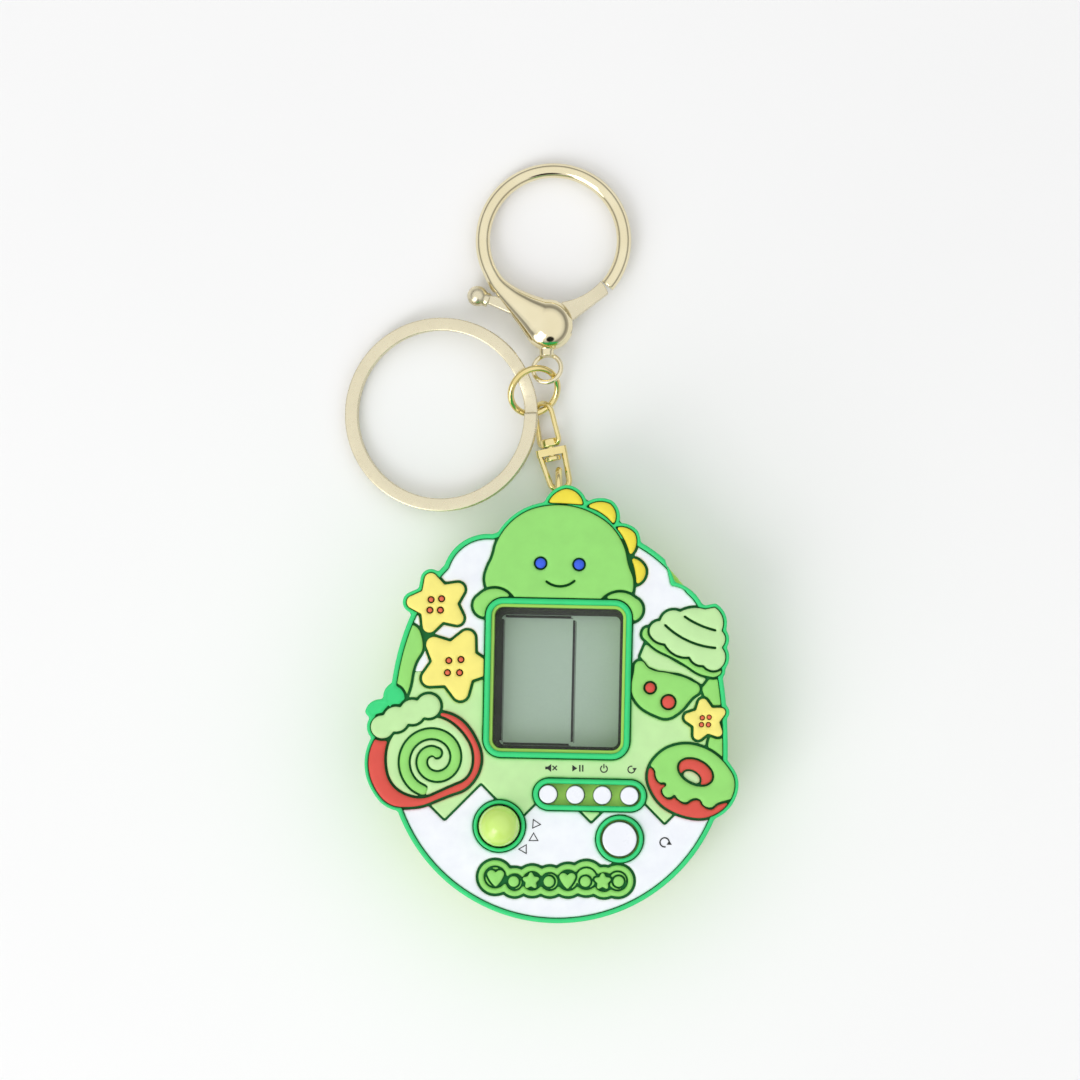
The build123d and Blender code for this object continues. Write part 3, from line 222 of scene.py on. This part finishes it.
def board_material():
    """Green laminate with paler copper tracks under the lacquer."""
    material, tree, shader = new_material("board_laminate")
    place = tree.nodes.new("ShaderNodeTexCoord")
    tracks = tree.nodes.new("ShaderNodeTexBrick")
    tracks.inputs["Scale"].default_value = 180.0
    tracks.inputs["Color1"].default_value = paint(24, 92, 44)
    tracks.inputs["Color2"].default_value = paint(30, 104, 50)
    tracks.inputs["Mortar"].default_value = paint(84, 148, 78)
    tracks.inputs["Mortar Size"].default_value = 0.03
    tree.links.new(place.outputs["Object"], tracks.inputs["Vector"])
    tree.links.new(tracks.outputs["Color"], shader.inputs["Base Color"])
    vary_roughness(tree, shader, 1.0, 0.3, 0.42)
    return material


EMERALD = paint(58, 218, 130)
# Dark green of the groove floors: partly the outline colour, partly painted shade of the grooves.
OUTLINE_AND_SHADE_GREEN = paint(0, 112, 50)
LEAF_GREEN = paint(150, 223, 115)
PALE_GREEN = paint(196, 237, 168)
WHITE = paint(244, 247, 255)
RED = paint(222, 84, 72)
STAR_YELLOW = paint(250, 238, 128)
SPINE_YELLOW = paint(241, 224, 66)
PLATE_LIGHT = paint(240, 230, 196)
PLATE_DARK = paint(232, 220, 182)

case_plastic = moulded_plastic("case_plastic", paint(172, 222, 92), 0.34)
white_plastic = moulded_plastic("white_plastic", paint(243, 246, 253), 0.3, coat=0.3)
ball_plastic = moulded_plastic("ball_plastic", paint(204, 240, 118), 0.2, grain=0.002, coat=0.6)
holder_plastic = moulded_plastic("holder_plastic", paint(232, 233, 230), 0.5)
black_resin = moulded_plastic("black_resin", paint(26, 27, 30), 0.4, grain=0.02)
black_print = moulded_plastic("black_print", paint(20, 26, 22), 0.55)
grey_silicone = soft_rubber("grey_silicone", paint(150, 152, 156))
cover_dark = base_material()
cover_emerald = soft_rubber("cover_emerald", EMERALD)
cover_white = soft_rubber("cover_white", WHITE, 0.006)
cover_pale = soft_rubber("cover_pale", PALE_GREEN, 0.008)
cover_leaf = soft_rubber("cover_leaf", LEAF_GREEN)
cover_light = soft_rubber("cover_light", PALE_GREEN)
cover_red = soft_rubber("cover_red", RED)
star_yellow = soft_rubber("star_yellow", STAR_YELLOW)
spine_yellow = soft_rubber("spine_yellow", SPINE_YELLOW)
dot_red = soft_rubber("dot_red", paint(232, 112, 84))
eye_blue = soft_rubber("eye_blue", paint(60, 100, 232))
window_pale = soft_rubber("window_pale", paint(206, 236, 180))
gold_polished = plated_metal("gold_polished", PLATE_LIGHT, PLATE_DARK, 0.09)
gold_satin = plated_metal("gold_satin", paint(228, 219, 190), paint(222, 213, 184), 0.3)
gold_yellow = plated_metal("gold_yellow", paint(242, 227, 168), paint(234, 212, 138), 0.1)
screw_steel = plated_metal("screw_steel", paint(200, 200, 204), paint(170, 170, 175), 0.25)
cell_steel = plated_metal("cell_steel", paint(214, 214, 216), paint(190, 190, 194), 0.28)
board_green = board_material()
print_shadow = moulded_plastic("print_shadow", paint(112, 128, 116), 0.5)
display_cell = display_material()
clear_lens = lens_material()


# ---------------------------------------------------------------- mesh helpers

def link_object(name, mesh):
    piece = bpy.data.objects.new(name, mesh)
    scene.collection.objects.link(piece)
    return piece


def dress(piece, material):
    piece.data.materials.clear()
    piece.data.materials.append(material)


def apply_modifiers(piece):
    """Bake a piece's modifiers into its mesh."""
    graph = bpy.context.evaluated_depsgraph_get()
    mesh = bpy.data.meshes.new_from_object(piece.evaluated_get(graph))
    piece.modifiers.clear()
    piece.data = mesh


def shade_smooth(piece):
    for polygon in piece.data.polygons:
        polygon.use_smooth = True


def even_copy(node, name, voxel_mm, rounds):
    """Copy of a CAD node on an even grid, its edges worn round; it is worked in millimetres."""
    mesh = nodes[node].data.copy()
    mesh.transform(Matrix.Scale(1 / MM, 4))
    piece = link_object(name, mesh)
    even = piece.modifiers.new("even", "REMESH")
    even.mode = "VOXEL"
    even.voxel_size = voxel_mm
    worn = piece.modifiers.new("worn", "SMOOTH")
    worn.factor = 0.5
    worn.iterations = rounds
    apply_modifiers(piece)
    return piece


def pillow(piece, top_mm, drop_mm, width_mm):
    """Let the upper face fall away towards its edges, so that it looks filled and not cut out."""
    mesh = piece.data
    walls = [vertex.co for vertex in mesh.vertices
             if abs(vertex.normal.z) < 0.55 and top_mm - 0.6 < vertex.co.z < top_mm - 0.1]
    if not walls:
        return
    tree = kdtree.KDTree(len(walls))
    for index, spot in enumerate(walls):
        tree.insert((spot.x, spot.y, 0), index)
    tree.balance()
    for vertex in mesh.vertices:
        if vertex.co.z > top_mm - 0.25:
            reach = tree.find((vertex.co.x, vertex.co.y, 0))[2]
            fall = max(0.0, 1 - reach / width_mm)
            vertex.co.z -= drop_mm * fall * fall


def soft_piece(node, material, voxel_mm=0.15, rounds=3, drop_mm=0.16, width_mm=0.9):
    """Moulded soft copy that stands for a CAD node of the cover."""
    top_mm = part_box(node)[1].z / MM
    piece = even_copy(node, node + "_soft", voxel_mm, rounds)
    if drop_mm:
        pillow(piece, top_mm, drop_mm, width_mm)
    piece.data.transform(Matrix.Scale(MM, 4))
    piece.data.update()
    shade_smooth(piece)
    dress(piece, material)
    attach(piece, "game")
    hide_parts(node)
    return piece


def finish_node(node, material, bevel_mm=0.0):
    """Give a CAD node that stays its finish, with its hard edges eased."""
    piece = nodes[node]
    dress(piece, material)
    if bevel_mm:
        ease = piece.modifiers.new("ease", "BEVEL")
        ease.width = bevel_mm * MM
        ease.segments = 2
        ease.limit_method = "ANGLE"
        ease.angle_limit = math.radians(40)
    for polygon in piece.data.polygons:
        polygon.use_smooth = True
    even = piece.modifiers.new("normals", "WEIGHTED_NORMAL")
    even.keep_sharp = True


# ---------------------------------------------------------------- the soft cover

SOFT_PARTS = {
    "cover_rim": (cover_emerald, "cover_emerald"),
    "control_rings": (cover_emerald, "cover_emerald"),
    "side_bands": (cover_leaf, "cover_band"),
    "head_pad": (cover_leaf, "head_green"),
    "eyes": (eye_blue, "eye_blue"),
    "arm_pads": (cover_leaf, "head_green"),
    "spine_pads": (spine_yellow, "spine_yellow"),
    "star_pads": (star_yellow, "star_yellow"),
    "star_dots": (dot_red, "dot_red"),
    "roll_cream": (cover_light, "light_green"),
    "roll_sauce": (cover_red, "sauce_red"),
    "roll_face": (cover_light, "light_green"),
    "roll_spiral": (cover_leaf, "mid_green"),
    "cupcake_cream": (cover_light, "light_green"),
    "cupcake_lip": (cover_leaf, "mid_green"),
    "cupcake_band": (cover_light, "light_green"),
    "cupcake_cup": (cover_leaf, "mid_green"),
    "cupcake_dots": (cover_red, "sauce_red"),
    "donut_icing": (cover_leaf, "mid_green"),
    "donut_dough": (cover_red, "sauce_red"),
    "donut_window": (window_pale, "window_pale"),
    "plaque_base": (cover_leaf, "plaque_green"),
    "plaque_relief": (cover_leaf, "plaque_green"),
}


FINE_PARTS = ("head_pad", "cupcake_cream", "eyes", "star_dots", "star_pads", "plaque_relief")


def make_cover():
    for node, (material, slot) in SOFT_PARTS.items():
        soft_piece(node, material, 0.11 if node in FINE_PARTS else 0.15)
    soft_piece("keypad_membrane", grey_silicone, 0.2, 2, 0.0)
    soft_piece("zebra_strips", grey_silicone, 0.2, 2, 0.0)
    soft_piece("white_panels", cover_white, 0.18, 2, 0.05, 0.5)
    soft_piece("pale_panels", cover_pale, 0.18, 2, 0.05, 0.5)
    soft_piece("cover_base", cover_dark, 0.3, 1, 0.0)


# ---------------------------------------------------------------- hard parts

def make_game():
    for node in ("rear_shell", "front_shell", "battery_door"):
        finish_node(node, case_plastic, 0.12)
    for node in ("mute_button", "pause_button", "power_button", "reset_button", "rotate_button"):
        finish_node(node, white_plastic)
    for node in ("joystick_ball", "joystick_stem"):
        finish_node(node, ball_plastic)
    for node in ("display_holder", "joystick_guide"):
        finish_node(node, holder_plastic, 0.1)
    for node in ("chip_blob", "buzzer"):
        finish_node(node, black_resin)
    finish_node("printed_icons", black_print)
    for node in ("case_screws", "battery_door_screw", "clasp_spring"):
        finish_node(node, screw_steel)
    for node in ("coin_cells", "battery_contacts"):
        finish_node(node, cell_steel)
    finish_node("circuit_board", board_green)
    finish_node("display_glass", display_cell)
    finish_node("screen_lens", clear_lens)


DISPLAY_CENTRE = (0.0, 7.1)            # millimetres, like all the sizes of the print
DISPLAY_TURN = -1.2
MASK_HALF = (9.84, 10.84)
MASK_CORNER = 1.36
MASK_Z = (12.6, 12.65)
# Widths of the black frame: about half a millimetre of print on each side, and on the left and at the top a
# wider band of painted shadow from the recess walls.
MASK_AND_SHADOW_WIDTH = {"left": 1.0, "right": 0.42, "top": 1.1, "low": 0.5}
GLASS_TOP = 11.3
FIELD = {"left": -8.7, "right": 2.3, "top": 9.5, "low": -10.1}


def display_spot(x, y, z):
    turn = Matrix.Rotation(math.radians(DISPLAY_TURN), 3, "Z")
    return turn @ Vector((x, y, z)) + Vector((*DISPLAY_CENTRE, 0))


def rounded_loop(left, right, low, top, corner, steps=8):
    """Corner points of a rounded rectangle, anticlockwise."""
    spots = []
    for x, y, start in ((right - corner, top - corner, 0), (left + corner, top - corner, 90),
                        (left + corner, low + corner, 180), (right - corner, low + corner, 270)):
        for step in range(steps + 1):
            way = math.radians(start + 90 * step / steps)
            spots.append((x + corner * math.cos(way), y + corner * math.sin(way)))
    return spots


def add_box(mesh, left, right, low, top, under, over):
    spots = [(x, y, z) for z in (under, over) for x, y in ((left, low), (right, low), (right, top), (left, top))]
    corners = [mesh.verts.new(display_spot(*spot)) for spot in spots]
    for face in ((3, 2, 1, 0), (4, 5, 6, 7), (0, 1, 5, 4), (1, 2, 6, 5), (2, 3, 7, 6), (3, 0, 4, 7)):
        mesh.faces.new([corners[index] for index in face])


def add_field(mesh, shift, thick, wide):
    """Four lines of the game field, which stop short of the corners."""
    under, over = GLASS_TOP, GLASS_TOP + thick
    short, half = 0.45, wide / 2
    across = (FIELD["left"] + short + shift[0], FIELD["right"] - short + shift[0])
    along = (FIELD["low"] + short + shift[1], FIELD["top"] - short + shift[1])
    for y in (FIELD["top"] + shift[1], FIELD["low"] + shift[1]):
        add_box(mesh, *across, y - half, y + half, under, over)
    for x in (FIELD["left"] + shift[0], FIELD["right"] + shift[0]):
        add_box(mesh, x - half, x + half, *along, under, over)


def add_mask(mesh):
    """Black frame printed on the back of the lens, wider on the left and at the top, where the extra width is
    painted shadow cast by the walls of the display recess.
    """
    outer = rounded_loop(-MASK_HALF[0], MASK_HALF[0], -MASK_HALF[1], MASK_HALF[1], MASK_CORNER)
    inner = rounded_loop(MASK_AND_SHADOW_WIDTH["left"] - MASK_HALF[0], MASK_HALF[0] - MASK_AND_SHADOW_WIDTH["right"],
                         MASK_AND_SHADOW_WIDTH["low"] - MASK_HALF[1], MASK_HALF[1] - MASK_AND_SHADOW_WIDTH["top"], 0.9)
    loops = [[mesh.verts.new(display_spot(x, y, z)) for x, y in loop]
             for loop, z in ((outer, MASK_Z[0]), (inner, MASK_Z[0]), (inner, MASK_Z[1]), (outer, MASK_Z[1]))]
    count = len(outer)
    for first, second in ((0, 3), (3, 2), (2, 1), (1, 0)):
        for k in range(count):
            after = (k + 1) % count
            mesh.faces.new([loops[first][k], loops[first][after], loops[second][after], loops[second][k]])


def mesh_piece(name, build, scale=MM):
    """Piece from a function that fills a mesh in millimetres; a scale of 1 keeps them for more work."""
    shape = bmesh.new()
    build(shape)
    bmesh.ops.recalc_face_normals(shape, faces=shape.faces)
    mesh = bpy.data.meshes.new(name)
    shape.to_mesh(mesh)
    shape.free()
    mesh.transform(Matrix.Scale(scale, 4))
    return link_object(name, mesh)


def make_display():
    def black(shape):
        add_mask(shape)
        add_field(shape, (0, 0), 0.05, 0.36)

    # Black print of the lens mask and the field lines; the mask's wide left and top bands are painted shadow of
    # the recess walls.
    printed = mesh_piece("display_print", black)
    dress(printed, black_print)
    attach(printed, "game")
    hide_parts("screen_print")
    faint = mesh_piece("display_print_shadow", lambda shape: add_field(shape, (0.3, -0.16), 0.02, 0.2))
    dress(faint, print_shadow)
    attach(faint, "game")


# ---------------------------------------------------------------- key hardware

CLASP_SPOT = (-1.6, 62.0, 3.3)          # middle of the bulb, in millimetres
CLASP_LEAN = -4.6
RING_MIDDLE = (0.74, 13.15)             # from the bulb
RING_REACH = 10.93
WIRE = (1.15, 1.2)                      # half width and half thickness of the hook
NECK = [(-7.9, 6.3, 1.35, 1.4), (-5.95, 4.35, 1.8, 1.75), (-3.85, 2.65, 2.5, 2.2), (-1.9, 1.2, 3.3, 2.65),
        (-0.8, 0.3, 3.6, 2.8)]
BULB = (3.95, 4.05, 2.95)
SLOT = [(0.2, -2.4), (4.4, -1.2), (4.4, 4.8), (0.2, 4.3), (-2.6, 3.8), (-7.2, 4.7), (-10.4, 5.6), (-10.4, -2.2),
        (-2.4, -2.2)]
SLOT_HALF = 0.95
EYE = (2.2, 0.4)
COIL_MIDDLE = (-18.2, 48.1, 2.65)       # key ring
COIL_REACH = 14.0
COIL_BAND = (2.0, 0.9, 0.2)             # width, thickness and corner
COIL_LEVEL = 0.49                       # half the distance between the two turns
COIL_TURNS = (39, 365, 395, 722)        # start, foot of the crossing, top of the crossing, end, in degrees


def add_tube(mesh, stations, sides=28):
    """Skin round a row of stations, each x, y, half width and half height, closed at both ends."""
    rings = []
    for index, (x, y, wide, high) in enumerate(stations):
        before = stations[max(0, index - 1)]
        after = stations[min(len(stations) - 1, index + 1)]
        way = Vector((after[0] - before[0], after[1] - before[1], 0)).normalized()
        side = Vector((way.y, -way.x, 0))
        rings.append([mesh.verts.new(Vector((x, y, 0)) + side * wide * math.cos(2 * math.pi * k / sides)
                                     + Vector((0, 0, high * math.sin(2 * math.pi * k / sides))))
                      for k in range(sides)])
    for first, second in zip(rings, rings[1:]):
        for k in range(sides):
            after = (k + 1) % sides
            mesh.faces.new([first[k], first[after], second[after], second[k]])
    mesh.faces.new(rings[0][::-1])
    mesh.faces.new(rings[-1])


def glide(stations, steps=6):
    """Smooth row of stations through the given ones."""
    row = []
    for k in range(len(stations) - 1):
        a, b, c, d = [stations[min(max(k + j, 0), len(stations) - 1)] for j in (-1, 0, 1, 2)]
        for step in range(steps):
            t = step / steps
            row.append(tuple(0.5 * (2 * q + (r - p) * t + (2 * p - 5 * q + 4 * r - w) * t * t
                                    + (3 * q - p - 3 * r + w) * t ** 3) for p, q, r, w in zip(a, b, c, d)))
    return row + [stations[-1]]


def clasp_matrix():
    return Matrix.Translation(CLASP_SPOT) @ Matrix.Rotation(math.radians(CLASP_LEAN), 4, "X")


def add_clasp(mesh):
    """Hook, neck and bulb, with the stem under them."""
    hook = []
    for step in range(83):
        way = math.radians(-40.5 + 3 * step)
        x = RING_MIDDLE[0] + RING_REACH * math.cos(way)
        y = RING_MIDDLE[1] + RING_REACH * math.sin(way)
        hook.append((x, y, *WIRE))
    add_tube(mesh, hook[:-1] + glide([hook[-1]] + NECK))
    ball = Matrix.Diagonal((*BULB, 1.0))
    bmesh.ops.create_uvsphere(mesh, u_segments=48, v_segments=32, radius=1.0, matrix=ball)
    stem = Matrix.Translation((-0.3, -3.9, 0)) @ Matrix.Rotation(math.radians(90), 4, "X")
    bmesh.ops.create_cone(mesh, cap_ends=True, segments=32, radius1=1.1, radius2=1.1, depth=2.1, matrix=stem)
    bmesh.ops.transform(mesh, matrix=clasp_matrix(), verts=mesh.verts)


def add_eye(mesh):
    """Ring under the clasp, round the axis of its joint."""
    joint = joints["clasp_swing"]
    middle = Vector(joint["pos_m"]) / MM
    axis = Vector(joint["axis"]).normalized()
    across = axis.orthogonal().normalized()
    other = axis.cross(across)
    turns, sides = 72, 20
    rings = []
    for k in range(turns):
        way = 2 * math.pi * k / turns
        outward = across * math.cos(way) + other * math.sin(way)
        rings.append([mesh.verts.new(middle + outward * (EYE[0] + EYE[1] * math.cos(2 * math.pi * j / sides))
                                     + axis * EYE[1] * math.sin(2 * math.pi * j / sides)) for j in range(sides)])
    for k in range(turns):
        for j in range(sides):
            mesh.faces.new([rings[k][j], rings[(k + 1) % turns][j], rings[(k + 1) % turns][(j + 1) % sides],
                            rings[k][(j + 1) % sides]])


def add_slot(mesh):
    low, high = [[mesh.verts.new((x, y, z)) for x, y in SLOT] for z in (-SLOT_HALF, SLOT_HALF)]
    mesh.faces.new(low[::-1])
    mesh.faces.new(high)
    for k in range(len(SLOT)):
        after = (k + 1) % len(SLOT)
        mesh.faces.new([low[k], low[after], high[after], high[k]])
    bmesh.ops.transform(mesh, matrix=clasp_matrix(), verts=mesh.verts)


def make_clasp():
    """The clasp's casting as one flowing shape, with the slot for its gate."""
    def casting(shape):
        add_clasp(shape)
        add_eye(shape)

    body = mesh_piece("clasp_casting", casting, 1.0)
    even = body.modifiers.new("even", "REMESH")
    even.mode = "VOXEL"
    even.voxel_size = 0.13
    worn = body.modifiers.new("worn", "SMOOTH")
    worn.factor = 0.5
    worn.iterations = 10
    apply_modifiers(body)
    slot = mesh_piece("clasp_slot", add_slot, 1.0)
    opening = body.modifiers.new("slot", "BOOLEAN")
    opening.operation = "DIFFERENCE"
    opening.object = slot
    apply_modifiers(body)
    bpy.data.objects.remove(slot)
    body.data.transform(Matrix.Scale(MM, 4))
    shade_smooth(body)
    dress(body, gold_polished)
    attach(body, "clasp")
    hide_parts("clasp_frame")

    gate = even_copy("clasp_gate", "clasp_lever", 0.1, 5)
    gate.data.transform(Matrix.Scale(MM, 4))
    shade_smooth(gate)
    dress(gate, gold_satin)
    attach(gate, "clasp_gate")
    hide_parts("clasp_gate")


def add_coils(mesh):
    """Flat wire wound twice round the key ring's axis, with the crossing and both cut ends."""
    axis = Vector(joints["split_ring_turn"]["axis"]).normalized()
    across = Vector((axis.z, 0, -axis.x)).normalized()
    other = axis.cross(across)
    wide, thick, corner = COIL_BAND
    band = rounded_loop(-wide / 2, wide / 2, -thick / 2, thick / 2, corner, 5)
    start, foot, top, end = COIL_TURNS
    rings = []
    for degree in range(start, end + 1, 2):
        climb = min(max((degree - foot) / (top - foot), 0), 1)
        level = -COIL_LEVEL * math.cos(math.pi * climb)
        way = math.radians(degree)
        outward = across * math.cos(way) + other * math.sin(way)
        rings.append([mesh.verts.new(Vector(COIL_MIDDLE) + outward * (COIL_REACH + x) + axis * (level + z))
                      for x, z in band])
    for first, second in zip(rings, rings[1:]):
        for k in range(len(band)):
            after = (k + 1) % len(band)
            mesh.faces.new([first[k], first[after], second[after], second[k]])
    mesh.faces.new(rings[0][::-1])
    mesh.faces.new(rings[-1])


def make_split_ring():
    coils = mesh_piece("split_ring_coils", add_coils)
    for polygon in coils.data.polygons:
        polygon.use_smooth = len(polygon.vertices) == 4
    dress(coils, gold_satin)
    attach(coils, "split_ring")
    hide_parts("split_ring")


def make_hardware():
    for node in ("small_link", "swivel_frame", "swivel_shackle", "round_link"):
        finish_node(node, gold_yellow)
    make_split_ring()
    finish_node("clasp_pin", gold_polished)
    make_clasp()


# ---------------------------------------------------------------- floor, light and camera

def make_floor():
    mesh = bpy.data.meshes.new("floor")
    half = 3.0
    mesh.from_pydata([(-half, -half, FLOOR_Z), (half, -half, FLOOR_Z), (half, half, FLOOR_Z),
                      (-half, half, FLOOR_Z)], [], [(0, 1, 2, 3)])
    floor = link_object("floor", mesh)
    material, tree, shader = new_material("pale_floor")
    tint = ramp_node(tree, noise_node(tree, 60).outputs["Fac"], [(0.3, grey(0.94)), (0.7, grey(0.95))])
    tree.links.new(tint.outputs["Color"], shader.inputs["Base Color"])
    shader.inputs["Roughness"].default_value = 0.9
    shader.inputs["Specular IOR Level"].default_value = 0.1
    dress(floor, material)


def area_light(name, place, aim, size, power):
    light = bpy.data.lights.new(name, "AREA")
    light.shape = "RECTANGLE"
    light.size, light.size_y = size
    light.energy = power
    lamp = bpy.data.objects.new(name, light)
    scene.collection.objects.link(lamp)
    lamp.location = place
    lamp.rotation_euler = (Vector(aim) - Vector(place)).to_track_quat("-Z", "Y").to_euler()


def sky_patch(tree, place, sky, way, edge, colour):
    """Round patch of another brightness in the sky; edge holds the cosines of its outer and inner rim."""
    aside = tree.nodes.new("ShaderNodeVectorMath")
    aside.operation = "DOT_PRODUCT"
    aside.inputs[1].default_value = Vector(way).normalized()
    tree.links.new(place.outputs["Generated"], aside.inputs[0])
    inside = ramp_node(tree, aside.outputs["Value"], [(edge[0], grey(0.0)), (edge[1], grey(1.0))])
    mix = tree.nodes.new("ShaderNodeMix")
    mix.data_type = "RGBA"
    tree.links.new(inside.outputs["Color"], mix.inputs["Factor"])
    tree.links.new(sky, mix.inputs["A"])
    mix.inputs["B"].default_value = colour
    return mix.outputs["Result"]


def make_world():
    """Bright studio with a darker band below the ceiling, which polished metal mirrors."""
    world = bpy.data.worlds.new("studio")
    scene.world = world
    world.use_nodes = True
    tree = world.node_tree
    place = tree.nodes.new("ShaderNodeTexCoord")
    parts = tree.nodes.new("ShaderNodeSeparateXYZ")
    tree.links.new(place.outputs["Generated"], parts.inputs["Vector"])
    ramp = ramp_node(tree, parts.outputs["Z"],
                     [(0.0, grey(0.75)), (0.12, grey(0.45)), (0.34, grey(0.28)), (0.5, grey(0.8)),
                      (0.7, grey(1.0)), (1.0, grey(1.0))])
    aside = tree.nodes.new("ShaderNodeVectorMath")
    aside.operation = "DOT_PRODUCT"
    shadow = sky_patch(tree, place, ramp.outputs["Color"], (0.1, -0.78, 0.62), (0.965, 0.98), grey(0.02))
    window = sky_patch(tree, place, shadow, (-0.6, -0.72, 0.36), (0.95, 0.965), (2.4, 2.4, 2.4, 1.0))
    tree.links.new(window, tree.nodes["Background"].inputs["Color"])
    tree.nodes["Background"].inputs["Strength"].default_value = 1.0


def make_camera():
    data = bpy.data.cameras.new("camera")
    camera = bpy.data.objects.new("camera", data)
    scene.collection.objects.link(camera)
    aim = Vector(VIEW_CENTRE)
    spot = aim + Vector((VIEW_LEAN[0], VIEW_LEAN[1], VIEW_HEIGHT))
    back = (spot - aim).normalized()
    right = Vector((0, 1, 0)).cross(back).normalized()
    frame_axes = Matrix((right, back.cross(right), back)).transposed()
    camera.matrix_world = Matrix.Translation(spot) @ frame_axes.to_4x4()
    data.sensor_width = 36.0
    data.lens = data.sensor_width * (spot - aim).length / VIEW_WIDTH
    data.clip_start = 0.1
    data.clip_end = 20.0
    scene.camera = camera


make_cover()
make_game()
make_display()
make_hardware()
make_floor()
make_world()
area_light("key", (-0.35, -0.4, 0.6), (0, 0.02, 0), (0.35, 0.35), 1.3)
make_camera()
scene.view_settings.view_transform = "Standard"
